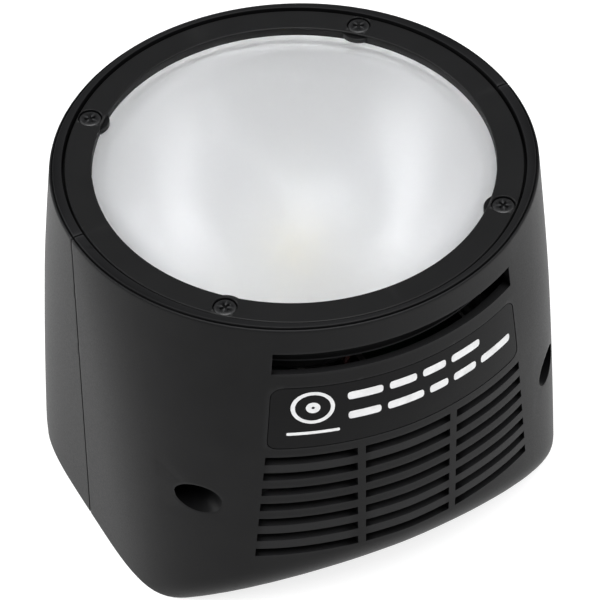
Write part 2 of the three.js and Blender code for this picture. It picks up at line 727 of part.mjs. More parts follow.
function contactBlock() {
  const block = box(-BLOCK_HALF_X, BLOCK_HALF_X, -BLOCK_HALF_Y, BLOCK_HALF_Y, BLOCK_BOTTOM, BLOCK_TOP);
  const tools = [-POWER_PIN_X, POWER_PIN_X].map((x) => rod(POWER_PIN_RADIUS + GAP, 0, 12, x, 0));
  for (let number = 1; number <= SIGNAL_PIN_COUNT; number++) {
    const x = signalPinX(number);
    tools.push(rod(SIGNAL_PIN_RADIUS + 0.25, 0, 6, x, 0, 12));
    tools.push(rod(COLLAR_RADIUS + 0.3, SHOULDER, BORE_TOP, x, 0, 12));
  }
  return cut(block, ...tools);
}

function powerPin() {
  const shaft = POWER_PIN_RADIUS;
  return turned([
    [0, PIN_TIP],
    [shaft * 0.5, PIN_TIP],
    [shaft, PIN_TIP + 0.8],
    [shaft, BOARD_BOTTOM - GAP],
    [0, BOARD_BOTTOM - GAP],
  ], 16);
}

function signalPin() {
  const shaft = SIGNAL_PIN_RADIUS;
  return turned([
    [0, PIN_TIP],
    [shaft * 0.5, PIN_TIP + 0.1],
    [shaft, PIN_TIP + 0.5],
    [shaft, COLLAR_BOTTOM],
    [COLLAR_RADIUS, COLLAR_BOTTOM],
    [COLLAR_RADIUS, COLLAR_TOP],
    [0, COLLAR_TOP],
  ], 10);
}

// Small coil spring between a pin's collar and the end of its bore.
function pinSpring() {
  const turns = 3;
  const wireRadius = 0.13;
  const coilRadius = COLLAR_RADIUS - wireRadius;
  const low = COLLAR_TOP + CONTACT + wireRadius;
  const high = BORE_TOP - CONTACT - wireRadius;
  const steps = turns * 6;
  const points = [];
  for (let i = 0; i <= steps; i++) {
    const angle = (2 * Math.PI * turns * i) / steps;
    const z = low + ((high - low) * i) / steps;
    points.push(vector(coilRadius * Math.cos(angle), coilRadius * Math.sin(angle), z));
  }
  return wire(points, wireRadius, 4, steps);
}

// ---------------------------------------------------------------- assembly

const flashHead = new THREE.Group();

function add(name, shape, look, x = 0, y = 0, z = 0) {
  const mesh = new THREE.Mesh(geometryOf(shape), look);
  mesh.name = name;
  mesh.position.set(x, y, z);
  flashHead.add(mesh);
  return mesh;
}

const shell = shellSolid();
add("near_shell", nearShell(shell), BLACK_PLASTIC);
add("far_shell", farShell(shell), BLACK_PLASTIC);
add("near_label", labelPlate(), LABEL_FILM);
add("far_label", onFarSide(labelPlate()), LABEL_FILM);

add("front_ring", frontRing(), BLACK_STEEL);
RING_SCREW_ANGLES.forEach((degrees, i) => {
  const angle = THREE.MathUtils.degToRad(degrees);
  const x = RING_SCREW_CIRCLE * Math.cos(angle);
  const y = RING_SCREW_CIRCLE * Math.sin(angle);
  add(`ring_screw_${i + 1}`, screw(1.8, 0.6, 0.9, 4), SCREW_BLACK, x, y, RING_TOP - RING_SCREW_SINK + CONTACT);
});
add("front_glass", frontGlass(), FROSTED_GLASS);
add("glass_gasket", glassGasket(), SILICONE);
add("lamp_frame", lampFrame(), PART_BLACK);
add("reflector", reflector(), MIRROR);

add("flash_tube", flashTube(), QUARTZ);
add("lamp_base", lampBase(), CERAMIC);
add("trigger_band", triggerBand(), STEEL, 0, TUBE_ARC_RADIUS, TUBE_HEIGHT);
add("led_post", ledPost(), STEEL);
add("modelling_led", modellingLed(), LED_YELLOW);
add("heat_sensor", box(-3, 3, -2, 2, -2.6, 0), PART_BLACK, 0, 0, LAMP_BASE_BOTTOM - CONTACT);

add("driver_board", driverBoard(), BOARD_GREEN);
add("trigger_coil", triggerCoil(), COPPER_TAPE, 11, 6, 0);
add("trigger_capacitor", triggerCapacitor(), LED_YELLOW);
add("lead_socket", leadSocket(), LEAD_WHITE);

const SOCKET_FLOOR = BOARD_TOP + CONTACT + SOCKET_CAVITY_FLOOR + GAP;
const anodePath = [vector(LEG_X, LEG_Y, LEG_BOTTOM - 2 * GAP), vector(LEG_X, LEG_Y, 27),
  vector(3.8, -9.6, 24), vector(3.5, -9.5, SOCKET_FLOOR)];
add("anode_lead", wire(anodePath, LEAD_RADIUS, 8, 8), LEAD_RED);
const cathodePath = anodePath.map((p) => vector(-p.x, p.y, p.z));
add("cathode_lead", wire(cathodePath, LEAD_RADIUS, 8, 8), LEAD_WHITE);
const bandBottom = TUBE_HEIGHT - TUBE_RADIUS - GAP - BAND_THICKNESS;
const triggerPath = [vector(0, TUBE_ARC_RADIUS, bandBottom - GAP), vector(0, TUBE_ARC_RADIUS, 30),
  vector(0, TUBE_ARC_RADIUS, 26), vector(2, 11, 22), vector(3.5, 10.5, BOARD_TOP + GAP)];
add("trigger_lead", wire(triggerPath, TRIGGER_LEAD_RADIUS, 8, 14), PART_BLACK);

const boardScrew = () => screw(2, 1.2, 0.9, 3.6);
add("board_screw_1", boardScrew(), STEEL, -BOARD_SCREW_X, 0, BOARD_TOP + CONTACT);
add("board_screw_2", boardScrew(), STEEL, BOARD_SCREW_X, 0, BOARD_TOP + CONTACT);

[-SHELL_SCREW_X, SHELL_SCREW_X].forEach((x, i) => {
  const mesh = add(`housing_screw_${i + 1}`, screw(2.4, 1.6, 1, SHELL_SCREW_LENGTH), SCREW_BLACK);
  mesh.rotation.x = Math.PI / 2;
  mesh.position.set(x, COUNTERBORE_FLOOR - CONTACT, SHELL_SCREW_Z);
});

add("base_plate", basePlate(), BLACK_PLASTIC);
[[-1, -1], [1, -1], [1, 1], [-1, 1]].forEach(([sx, sy], i) => {
  const mesh = add(`base_screw_${i + 1}`, screw(2.1, 1.1, 1, 8), SCREW_BLACK);
  mesh.rotation.x = Math.PI;
  mesh.position.set(sx * PLATE_SCREW_X, sy * PLATE_SCREW_Y, PLATE_SCREW_SINK - CONTACT);
});

add("contact_block", contactBlock(), PART_BLACK);
add("power_pin_1", powerPin(), GOLD_CONTACT, -POWER_PIN_X, 0, 0);
add("power_pin_2", powerPin(), GOLD_CONTACT, POWER_PIN_X, 0, 0);
for (let number = 1; number <= SIGNAL_PIN_COUNT; number++) {
  add(`signal_pin_${number}`, signalPin(), GOLD_CONTACT, signalPinX(number), 0, 0);
  add(`pin_spring_${number}`, pinSpring(), STEEL, signalPinX(number), 0, 0);
}

export default flashHead;
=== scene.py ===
import math

import bmesh
import bpy
from mathutils import Matrix, Vector


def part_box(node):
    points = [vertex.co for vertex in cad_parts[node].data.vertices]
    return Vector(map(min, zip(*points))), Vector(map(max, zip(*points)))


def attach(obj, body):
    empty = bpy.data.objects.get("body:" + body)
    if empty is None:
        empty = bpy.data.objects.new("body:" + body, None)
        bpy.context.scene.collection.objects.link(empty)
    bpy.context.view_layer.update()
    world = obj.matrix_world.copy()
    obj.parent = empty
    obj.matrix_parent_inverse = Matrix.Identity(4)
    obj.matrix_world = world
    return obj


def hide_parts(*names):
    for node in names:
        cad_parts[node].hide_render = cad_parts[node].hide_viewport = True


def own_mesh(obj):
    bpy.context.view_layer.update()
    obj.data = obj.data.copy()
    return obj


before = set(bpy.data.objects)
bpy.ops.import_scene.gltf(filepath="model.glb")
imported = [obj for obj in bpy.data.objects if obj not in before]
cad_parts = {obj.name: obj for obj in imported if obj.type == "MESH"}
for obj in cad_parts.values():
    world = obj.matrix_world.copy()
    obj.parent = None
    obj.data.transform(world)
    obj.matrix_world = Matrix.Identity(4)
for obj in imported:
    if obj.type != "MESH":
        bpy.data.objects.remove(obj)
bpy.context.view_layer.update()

# Looks of the round flash head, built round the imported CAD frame. Lengths in this script are millimetres
# and become metres when a mesh is made. +Z is the light axis, the grille is at -Y, the shells part at y = 0.

MM = 0.001


def box_mm(node):
    low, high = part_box(node)
    return low / MM, high / MM


# ---------- sizes

shell_low, shell_high = box_mm("near_shell")
HEIGHT = shell_high.z
HALF_WIDTH = shell_high.x
HALF_DEPTH = -shell_low.y
SEAM = -shell_high.y  # half of the gap between the shells

# The housing's section: round at the rim, flatter front and back towards the rear, where it is cut back.
HALF_DEPTH_AT_RIM = HALF_DEPTH - 1.0
DEPTH_GROWTH = 26.0
SIDE_EXPONENT_DROP, FACE_EXPONENT_RISE = 0.375, 2.2
REAR_HALF_DEPTH = 25.2
UNDERCUT_HEIGHT, UNDERCUT_BLEND = 8.9, 8.2
UNDERCUT_LEAN = (HALF_DEPTH - REAR_HALF_DEPTH) / UNDERCUT_HEIGHT
WALL = 1.9
SHELL_ROUNDING = 0.13

VENT_END_AT_RIM = 19.8
VENT_END_SLOPE = 0.095
SLOT_LOW, SLOT_HIGH = 53.1, 57.0
SLOT_SILL_DROP, GRILLE_SILL_DROP = 0.9, 0.5  # how far the sills fall inwards
GRILLE_HALF = 0.8  # half the height of a grille slot
GRILLE_FIRST, GRILLE_PITCH = 26.75, 3.36  # the top slot's distance below the rim, and the step
GRILLE_ROWS = [HEIGHT - GRILLE_FIRST - GRILLE_PITCH * row for row in range(7)]
MULLION_INNER, MULLION_OUTER = 7.4, 8.7

LABEL_LOW, LABEL_HIGH = 37.8, 50.3
LABEL_CORNER = 1.8
LABEL_MARGIN = 1.2  # from the label's end to its block of cells
LABEL_BLOCK_Z = (37.0, 51.0)
LABEL_RECESS = 0.6
LABEL_GAP = 0.1
LABEL_FACE = 0.05  # how far the plate's face lies below the wall
LABEL_THICKNESS = 0.4
LABEL_ROUNDING = 0.06

BORE_X, BORE_Z = 31.0, 25.6
BORE_RADIUS = 2.75
BORE_FLOOR = 8.0
BORE_COLLAR = 0.5  # width of the ring of cells round the mouth
SCREW_HOLE = 1.3
BOSS_RADIUS = 3.9
FAR_BOSS_RADIUS, FAR_HOLE_END = 3.2, 12.0
BLOCK_LOW_X, BLOCK_HIGH_X = 26.8, 35.2

LEDGE_TOP, LEDGE_BOTTOM = 60.0, 58.8
LEDGE_INNER = 32.3
LIP_RADIUS = 36.3
PLATE_POCKET_INSET = 2.0
PLATE_INSET = 2.3
POCKET_ROOF_Z = 2.85

RING_OUTER, RING_INNER = 35.9, 31.63
ring_low, ring_high = box_mm("front_ring")
RING_TOP, RING_BOTTOM = ring_high.z, ring_low.z
RING_SCREW_CIRCLE = 33.9
RING_SCREW_ANGLES = [45, 135, 225, 315]


# ---------- materials

NOISE_RANGE = (0.3, 0.7)  # where most of the noise's values lie
WEAR_AND_HIGHLIGHT_RANGE = (0.52, 0.6)  # pointiness at which the paler edge colour begins, and at which it is full: worn edges on the ring and screws, a painted highlight on the housing


def set_inputs(node, values):
    for name, value in values.items():
        node.inputs[name].default_value = value


def value_noise(tree, coordinates, cell, detail):
    noise = tree.nodes.new("ShaderNodeTexNoise")
    set_inputs(noise, {"Scale": 1 / (cell * MM), "Detail": detail, "Roughness": 0.55})
    tree.links.new(coordinates, noise.inputs["Vector"])
    return noise.outputs["Fac"]


def map_range(tree, source, given, wanted=(0, 1)):
    """Maps the values between the two given ones to those between the two wanted ones."""
    node = tree.nodes.new("ShaderNodeMapRange")
    set_inputs(node, {"From Min": given[0], "From Max": given[1], "To Min": wanted[0], "To Max": wanted[1]})
    tree.links.new(source, node.inputs["Value"])
    return node.outputs["Result"]


def mix_colours(tree, factor, first, second):
    """Mixes two colours, each of them three numbers or a node's output."""
    node = tree.nodes.new("ShaderNodeMix")
    node.data_type = "RGBA"
    for socket, colour in (("A", first), ("B", second)):
        if isinstance(colour, tuple):
            node.inputs[socket].default_value = (*colour, 1)
        else:
            tree.links.new(colour, node.inputs[socket])
    tree.links.new(factor, node.inputs["Factor"])
    return node.outputs["Result"]


def surface(name, dark, light, roughness, patch=6.0, grain=0.25, bump=0.006, metallic=0.0,
            specular=0.5, wear_and_highlight=None, transmission=0.0, ior=1.5):
    """A Principled material: blotches of two close colours, uneven roughness, a fine grain, paler edges: worn
    on the ring and screws, a painted highlight on the housing.
    """
    material = bpy.data.materials.new(name)
    material.use_nodes = True
    tree = material.node_tree
    shader = tree.nodes["Principled BSDF"]
    set_inputs(shader, {"Metallic": metallic, "Specular IOR Level": specular,
                        "Transmission Weight": transmission, "IOR": ior})
    where = tree.nodes.new("ShaderNodeTexCoord").outputs["Object"]
    blotches = value_noise(tree, where, patch, detail=3.0)
    fine = value_noise(tree, where, grain, detail=2.0)
    colour = mix_colours(tree, map_range(tree, blotches, NOISE_RANGE), dark, light)
    if wear_and_highlight:
        pointed = tree.nodes.new("ShaderNodeNewGeometry").outputs["Pointiness"]
        colour = mix_colours(tree, map_range(tree, pointed, WEAR_AND_HIGHLIGHT_RANGE), colour, wear_and_highlight)
    tree.links.new(colour, shader.inputs["Base Color"])
    tree.links.new(map_range(tree, fine, NOISE_RANGE, roughness), shader.inputs["Roughness"])
    if bump:
        relief = tree.nodes.new("ShaderNodeBump")
        set_inputs(relief, {"Strength": 0.6, "Distance": bump * MM})
        tree.links.new(fine, relief.inputs["Height"])
        tree.links.new(relief.outputs["Normal"], shader.inputs["Normal"])
    return material


# Painted highlight: the housing's paler edge colour lightens its rounded edges, the rim most of all.
HOUSING = surface("housing_plastic", (0.0028, 0.0028, 0.003), (0.004, 0.004, 0.0042), (0.42, 0.5),
                  specular=0.115, bump=0.008, wear_and_highlight=(0.024, 0.024, 0.025))
PANEL = surface("label_film", (0.0022, 0.0022, 0.0024), (0.003, 0.003, 0.0032), (0.46, 0.52),
                specular=0.09, bump=0.003)
PRINT = surface("label_print", (0.6, 0.6, 0.6), (0.72, 0.72, 0.72), (0.5, 0.6), patch=1.5, bump=0.002)
RING = surface("ring_steel", (0.003, 0.003, 0.0032), (0.0044, 0.0044, 0.0046), (0.38, 0.46), specular=0.13,
               grain=0.18, bump=0.004, wear_and_highlight=(0.02, 0.02, 0.02))
SCREW = surface("screw_steel", (0.004, 0.004, 0.0042), (0.01, 0.01, 0.0105), (0.28, 0.4), patch=0.8,
                metallic=0.3, specular=0.3, grain=0.12, bump=0.003, wear_and_highlight=(0.08, 0.08, 0.082))
INNER = surface("inner_plastic", (0.004, 0.004, 0.0042), (0.006, 0.006, 0.0063), (0.45, 0.55), specular=0.15)
# Painted highlight: a paler grey for the lamp frame's lower edge, seen through the vents.
SKIRT_PAINTED_HIGHLIGHT = surface("skirt_painted_highlight", (0.04, 0.04, 0.041), (0.06, 0.06, 0.061), (0.5, 0.6), specular=0.3)
# Painted shade: black on the reflector's outside and on the lamp base's sides and bottom, where the head's
# inside lies in shade.
PAINTED_SHADE_BLACK = surface("painted_shade_black", (0.004, 0.004, 0.004), (0.007, 0.007, 0.007), (0.5, 0.6), specular=0.15)
MIRROR = surface("reflector_metal", (0.78, 0.78, 0.79), (0.86, 0.86, 0.87), (0.16, 0.24), patch=3,
                 metallic=1.0, grain=0.9, bump=0.01)
QUARTZ = surface("tube_glass", (0.93, 0.95, 0.97), (0.97, 0.98, 0.99), (0.02, 0.05), patch=4,
                 transmission=0.9, ior=1.46, bump=0)
CERAMIC = surface("ceramic", (0.74, 0.72, 0.67), (0.84, 0.82, 0.77), (0.5, 0.62), patch=2.5, grain=0.2)
STEEL = surface("bright_steel", (0.42, 0.42, 0.43), (0.58, 0.58, 0.59), (0.22, 0.34), patch=1.2,
                metallic=1.0, grain=0.15, bump=0.002)
ALUMINIUM = surface("heatsink_aluminium", (0.55, 0.56, 0.58), (0.68, 0.69, 0.7), (0.3, 0.42), patch=1.5,
                    metallic=1.0, grain=0.12, bump=0.003)
SILICONE = surface("silicone", (0.4, 0.39, 0.37), (0.52, 0.51, 0.49), (0.65, 0.78), patch=3, grain=0.3)
LED = surface("led_resin", (0.74, 0.6, 0.1), (0.86, 0.72, 0.18), (0.3, 0.42), patch=0.6, grain=0.1)
BOARD = surface("board_laminate", (0.003, 0.016, 0.008), (0.005, 0.026, 0.012), (0.4, 0.5), patch=2.2,
                grain=0.2, specular=0.2)
TAPE = surface("coil_tape", (0.2, 0.11, 0.03), (0.28, 0.17, 0.05), (0.35, 0.5), patch=1.4, grain=0.2)
RESIN = surface("capacitor_resin", (0.2, 0.06, 0.012), (0.28, 0.09, 0.02), (0.25, 0.4), patch=1.8, grain=0.2)
# Painted shade: the red and white leads and the lead socket are far darker than their real colours, as they
# lie in shade inside the head.
SHADED_LEAD_RED = surface("lead_red", (0.03, 0.003, 0.002), (0.04, 0.004, 0.003), (0.4, 0.55), patch=1.2)
SHADED_LEAD_WHITE = surface("lead_white", (0.07, 0.069, 0.065), (0.09, 0.088, 0.083), (0.45, 0.6), patch=1.2)
LEAD_BLACK = surface("lead_black", (0.012, 0.012, 0.012), (0.025, 0.025, 0.025), (0.4, 0.55), patch=1.2)
BRASS = surface("contact_brass", (0.66, 0.44, 0.13), (0.8, 0.56, 0.2), (0.18, 0.3), patch=0.8,
                metallic=1.0, grain=0.1, bump=0.002)
GLASS = surface("front_glass", (0.95, 0.955, 0.96), (0.97, 0.975, 0.98), (0.44, 0.48), patch=14,
                grain=0.12, bump=0.004, transmission=0.86, specular=0.4, ior=1.45)


# ---------- mesh tools

def mix(a, b, t):
    return a + (b - a) * t


def add_object(name, data):
    item = bpy.data.objects.new(name, data)
    bpy.context.scene.collection.objects.link(item)
    return item


def mesh_object(name, points, faces):
    mesh = bpy.data.meshes.new(name)
    mesh.from_pydata([(p[0] * MM, p[1] * MM, p[2] * MM) for p in points], [], faces)
    return add_object(name, mesh)


def edit(item, change):
    """Runs change(bm) on the object's mesh in millimetres and turns all faces outwards."""
    bm = bmesh.new()
    bm.from_mesh(item.data)
    bmesh.ops.scale(bm, vec=(1 / MM,) * 3, verts=bm.verts)
    change(bm)
    bmesh.ops.recalc_face_normals(bm, faces=bm.faces)
    bmesh.ops.scale(bm, vec=(MM,) * 3, verts=bm.verts)
    bm.to_mesh(item.data)
    bm.free()


def solid(name, points, faces):
    """A closed mesh with its faces turned outwards."""
    item = mesh_object(name, points, faces)
    edit(item, lambda bm: None)
    return item


def move(item, matrix):
    """Moves the object's mesh by a matrix in millimetres."""
    item.data.transform(Matrix.Diagonal((1 / MM, 1 / MM, 1 / MM, 1)))
    item.data.transform(matrix)
    item.data.transform(Matrix.Diagonal((MM, MM, MM, 1)))


def bevel_edges(item, pairs, width, clamp=False):
    """Rounds the edges between the given pairs of points, where the mesh has one."""
    def change(bm):
        bm.verts.ensure_lookup_table()
        found = [bm.edges.get((bm.verts[a], bm.verts[b])) for a, b in pairs]
        bmesh.ops.recalc_face_normals(bm, faces=bm.faces)
        bmesh.ops.bevel(bm, geom=[edge for edge in found if edge], offset=width, offset_type="OFFSET",
                        segments=2, profile=0.5, affect="EDGES", clamp_overlap=clamp)

    edit(item, change)


def bevel_sharp(item, width):
    """Rounds every edge that turns by more than 40 degrees."""
    modifier = item.modifiers.new("round", "BEVEL")
    modifier.width = width * MM
    modifier.segments = 2
    modifier.limit_method = "ANGLE"
    modifier.angle_limit = math.radians(40)
    apply_modifiers(item)


def apply_modifiers(item):
    graph = bpy.context.evaluated_depsgraph_get()
    mesh = bpy.data.meshes.new_from_object(item.evaluated_get(graph))
    item.modifiers.clear()
    item.data = mesh


def combine(item, other, operation):
    """Joins, cuts or intersects item with other, which is used up."""
    modifier = item.modifiers.new("shape", "BOOLEAN")
    modifier.object = other
    modifier.operation = operation
    modifier.solver = "EXACT"
    apply_modifiers(item)
    bpy.data.objects.remove(other)


def cut(item, *tools):
    for tool in tools:
        combine(item, tool, "DIFFERENCE")


def join(item, *others):
    for other in others:
        combine(item, other, "UNION")


def piece(item, material, slot, *stands_for, body="head", sharp=32, weighted=True):
    """Sets the shading, with sharp edges, the material, body and the CAD nodes it stands for. The slot
    argument is not used.
    """
    bm = bmesh.new()
    bm.from_mesh(item.data)
    for face in bm.faces:
        face.smooth = True
    limit = math.radians(sharp)
    for edge in bm.edges:
        edge.smooth = edge.calc_face_angle(math.pi) < limit
    bm.to_mesh(item.data)
    bm.free()
    if weighted:
        item.modifiers.new("even_shading", "WEIGHTED_NORMAL").keep_sharp = True
    item.data.materials.clear()
    item.data.materials.append(material)
    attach(item, body)
    if stands_for:
        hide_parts(*stands_for)


def second_material(item, material, top, rear=False):
    """Gives it to faces below a level that look away from the light axis or, if rear, to the rear."""
    item.data.materials.append(material)
    for face in item.data.polygons:
        outwards = face.normal.x * face.center.x + face.normal.y * face.center.y > 0
        if (outwards or rear and face.normal.z < -0.9) and face.center.z < top * MM:
            face.material_index = 1


def turns(count):
    """Angles that divide a full turn."""
    return [2 * math.pi * i / count for i in range(count)]


def loft(name, rings, closed=False):
    """A solid through rings of points. A ring of one point is a tip, and other open ends get a flat cap."""
    points, loops, faces = [], [], []
    for ring in rings:
        loops.append(range(len(points), len(points) + len(ring)))
        points += ring
    for low, high in zip(loops, loops[1:] + loops[:1] if closed else loops[1:]):
        sides = max(len(low), len(high))
        for i in range(sides):
            k = (i + 1) % sides
            corners = (low[i % len(low)], low[k % len(low)], high[k % len(high)], high[i % len(high)])
            faces.append(tuple(dict.fromkeys(corners)))
    if not closed:
        faces += [tuple(end) for end in (loops[0], loops[-1]) if len(end) > 1]
    return solid(name, points, faces)


def lathe(name, profile, sides=96, closed=False, x=0.0, y=0.0):
    """A profile of (radius, z) points turned round a vertical axis. A point with radius 0 closes the end."""
    rings = []
    for radius, z in profile:
        angles = turns(sides if radius else 1)
        rings.append([(x + radius * math.cos(a), y + radius * math.sin(a), z) for a in angles])
    return loft(name, rings, closed)


def rounded(profile, radius):
    """The profile's points with each corner that has room replaced by a small arc."""
    made = []
    last = len(profile) - 1
    steps = 3
    for i, corner in enumerate(profile):
        if i in (0, last):
            made.append(corner)
            continue
        here, before, after = Vector(corner), Vector(profile[i - 1]), Vector(profile[i + 1])
        reach = min(radius, (before - here).length * 0.45, (after - here).length * 0.45)
        start = here + (before - here).normalized() * reach
        end = here + (after - here).normalized() * reach
        for k in range(steps + 1):
            t = k / steps
            point = start * (1 - t) ** 2 + here * 2 * t * (1 - t) + end * t ** 2
            made.append((point.x, point.y))
    return made


def prism(name, outline, z0, z1):
    """A closed upright prism over a list of (x, y)."""
    return loft(name, [[(x, y, z) for x, y in outline] for z in (z0, z1)])


def rod(name, radius, z0, z1, x=0.0, y=0.0, sides=40):
    return lathe(name, [(0, z0), (radius, z0), (radius, z1), (0, z1)], sides, x=x, y=y)


def together(name, items):
    """Puts separate meshes into one object."""
    bm = bmesh.new()
    for item in items:
        bm.from_mesh(item.data)
        bpy.data.objects.remove(item)
    mesh = bpy.data.meshes.new(name)
    bm.to_mesh(mesh)
    bm.free()
    return add_object(name, mesh)


def sweep(name, path, radius, sides):
    """A round closed tube along a list of points."""
    path = [Vector(p) for p in path]
    rings, side = [], None
    for i, here in enumerate(path):
        ahead = (path[min(i + 1, len(path) - 1)] - path[max(i - 1, 0)]).normalized()
        if side is None:
            side = ahead.orthogonal().normalized()
        side = (side - ahead * side.dot(ahead)).normalized()
        other = ahead.cross(side)
        rings.append([here + (side * math.cos(a) + other * math.sin(a)) * radius for a in turns(sides)])
    return loft(name, rings)


def smooth_path(points, steps):
    """A Catmull-Rom curve through points, with the given steps for each stretch."""
    p = [Vector(q) for q in points]
    p = [p[0] * 2 - p[1], *p, p[-1] * 2 - p[-2]]
    made = []
    for i in range(1, len(p) - 2):
        for k in range(steps):
            t = k / steps
            made.append(0.5 * (2 * p[i] + (p[i + 1] - p[i - 1]) * t
                               + (2 * p[i - 1] - 5 * p[i] + 4 * p[i + 1] - p[i + 2]) * t * t
                               + (3 * p[i] - p[i - 1] - 3 * p[i + 1] + p[i + 2]) * t ** 3))
    return [*made, p[-2]]


# ---------- housing section

def exponents(z):
    """The section's exponents on x and on y."""
    depth = (HEIGHT - z) / HEIGHT
    return 2 - SIDE_EXPONENT_DROP * depth, 2 + FACE_EXPONENT_RISE * depth


def half_depth(z, inset):
    t = min(max((HEIGHT - z) / DEPTH_GROWTH, 0), 1)
    return mix(HALF_DEPTH_AT_RIM, HALF_DEPTH, t * t * (3 - 2 * t)) - inset


def cut_back(raw, z, inset):
    """The rear cut-back of the flat sides, with a rounded change-over."""
    limit = REAR_HALF_DEPTH + UNDERCUT_LEAN * z - inset * math.hypot(1, UNDERCUT_LEAN)
    near = max(UNDERCUT_BLEND - abs(raw - limit), 0) / UNDERCUT_BLEND
    return min(raw, limit) - near * near * UNDERCUT_BLEND / 4


def raw_y(x, z, inset):
    side, face = exponents(z)
    share = min(abs(x) / (HALF_WIDTH - inset), 1)
    return half_depth(z, inset) * (1 - share ** side) ** (1 / face)


def wall_y(x, z, inset):
    return cut_back(raw_y(x, z, inset), z, inset)


def on_wall(x, z, inset):
    """The near wall's point at x and z, moved inwards by the inset."""
    return Vector((x, -wall_y(x, z, inset), z))


def half_turn(points):
    """Points of the near side turned to the far side."""
    return [Vector((-p.x, -p.y, p.z)) for p in points]


def side_x(y, z, inset):
    side, face = exponents(z)
    share = min(abs(y) / half_depth(z, inset), 1)
    return (HALF_WIDTH - inset) * (1 - share ** face) ** (1 / side)


def vent_end(z):
    """Half width of vents and label. Below the grille it stays as it is."""
    return VENT_END_AT_RIM + VENT_END_SLOPE * (HEIGHT - max(z, GRILLE_ROWS[-1] - GRILLE_HALF))


def half_columns():
    """Columns from the middle outwards, as (kind, share)."""
    columns = [("x", MULLION_INNER * i / 8) for i in range(9)]
    columns += [("x", mix(MULLION_INNER, MULLION_OUTER, 0.5)), ("x", MULLION_OUTER)]
    columns += [("vent", t) for t in (0.1, 0.2, 0.3, 0.4, 0.5, 0.6, 0.69, 0.77, 0.84, 0.9, 0.95, 1.0)]
    columns += [("margin", 0.5), ("margin", 1.0)]
    columns += [("gap", 0.35), ("gap", 0.7)]
    columns += [("x", mix(BLOCK_LOW_X, BLOCK_HIGH_X, i / 10)) for i in range(11)]
    columns += [("side", 1 - (1 - i / 18) ** 1.15) for i in range(1, 19)]
    return columns


HALF = half_columns()
COLUMNS = [(-1, *c) for c in reversed(HALF[1:])] + [(1, *c) for c in HALF]


def column_index(sign, kind, share):
    return COLUMNS.index((sign, kind, share))


def column_pair(kind, share):
    return column_index(-1, kind, share), column_index(1, kind, share)


def place(column, shape_z, inset, z):
    """The near side's point of a column on the section at shape_z, drawn at height z."""
    sign, kind, share = column
    if kind == "side":
        start = raw_y(BLOCK_HIGH_X, shape_z, inset)
        y = mix(start, SEAM, share)
        return Vector((sign * side_x(y, shape_z, inset), -cut_back(y, shape_z, inset), z))
    if kind == "x":
        x = share
    elif kind == "vent":
        x = mix(MULLION_OUTER, vent_end(shape_z), share)
    elif kind == "margin":
        x = vent_end(shape_z) + LABEL_MARGIN * share
    else:
        x = mix(vent_end(shape_z) + LABEL_MARGIN, BLOCK_LOW_X, share)
    return Vector((sign * x, -wall_y(x, shape_z, inset), z))


def on_circle(column, radius, z):
    """The column's direction just below the rim, drawn on a circle."""
    at = place(column, HEIGHT - 1, 0, z)
    if column[1:] == HALF[-1]:
        return Vector((column[0] * math.sqrt(radius ** 2 - SEAM ** 2), -SEAM, z))
    flat = Vector((at.x, at.y)).normalized() * radius
    return Vector((flat.x, flat.y, z))


# Heights of the wall's rows of cells: one at each edge of a vent, and closer round the label's corners.
WALL_LEVELS = sorted({
    1.0, 1.9, POCKET_ROOF_Z + 0.25, 4.2, 5.4, 6.6, 7.8, 9.0, 10.2, 11.4, 12.6, 13.5,
    *[row + GRILLE_HALF for row in GRILLE_ROWS], *[row - GRILLE_HALF for row in GRILLE_ROWS],
    *[row - GRILLE_PITCH / 2 for row in GRILLE_ROWS[1:4]],
    *LABEL_BLOCK_Z, 37.4, 37.9, 38.5, 39.3, 40.5, 42.2, 44.0, 45.8, 47.5, 48.7, 49.5, 50.1, 50.6, 52.0,
    SLOT_LOW, 54.1, 55.0, 56.0, SLOT_HIGH, 57.9,
})
BLOCK_Z = (GRILLE_ROWS[4] - GRILLE_HALF, GRILLE_ROWS[1] - GRILLE_HALF)


# (z, inset) points of the wall's edges. Over the rim come its rounding, the fine groove and the top edge.
REAR_EDGE = [(0, 0.12), (0.04, 0.03), (0.14, 0)]
RIM_EDGE = [(59.0, 0), (60.0, 0), (60.8, 0), (61.3, 0), (61.52, 0.03), (61.64, 0.1), (61.7, 0.2),
            (61.7, 0.28), (61.35, 0.3), (61.35, 0.5), (61.8, 0.52), (61.94, 0.58), (HEIGHT, 0.74)]
LIP_EDGE = [(LIP_RADIUS + 0.22, HEIGHT), (LIP_RADIUS + 0.08, 61.94), (LIP_RADIUS, 61.76)]


def profile_rows():
    """The shell's closed profile, from the rear edge up the outside, over the rim and down the inside.

    Each row is a key, where another function looks the row up, and the function that makes its points.
    """
    def wall(z, inset=0.0, shape_z=None):
        return lambda column: place(column, z if shape_z is None else shape_z, inset, z)

    def circle(radius, z):
        return lambda column: on_circle(column, radius, z)

    rows = [(None, wall(*p)) for p in REAR_EDGE]
    rows += [(("out", z), wall(z)) for z in WALL_LEVELS]
    rows += [(None, wall(*p)) for p in RIM_EDGE]
    rows += [(None, circle(*p)) for p in LIP_EDGE]
    rows += [("ledge", circle(LIP_RADIUS, LEDGE_TOP)), (None, circle(LEDGE_INNER, LEDGE_TOP)),
             (None, circle(LEDGE_INNER, LEDGE_BOTTOM)), (None, wall(LEDGE_BOTTOM, WALL))]
    rows += [(("in", z), wall(z, WALL)) for z in reversed(WALL_LEVELS) if z > POCKET_ROOF_Z]
    rows += [(None, wall(POCKET_ROOF_Z, WALL)), (None, wall(POCKET_ROOF_Z, PLATE_POCKET_INSET, 0)),
             (None, wall(0.15, PLATE_POCKET_INSET, 0)), (None, wall(0, PLATE_POCKET_INSET - 0.15))]
    return rows


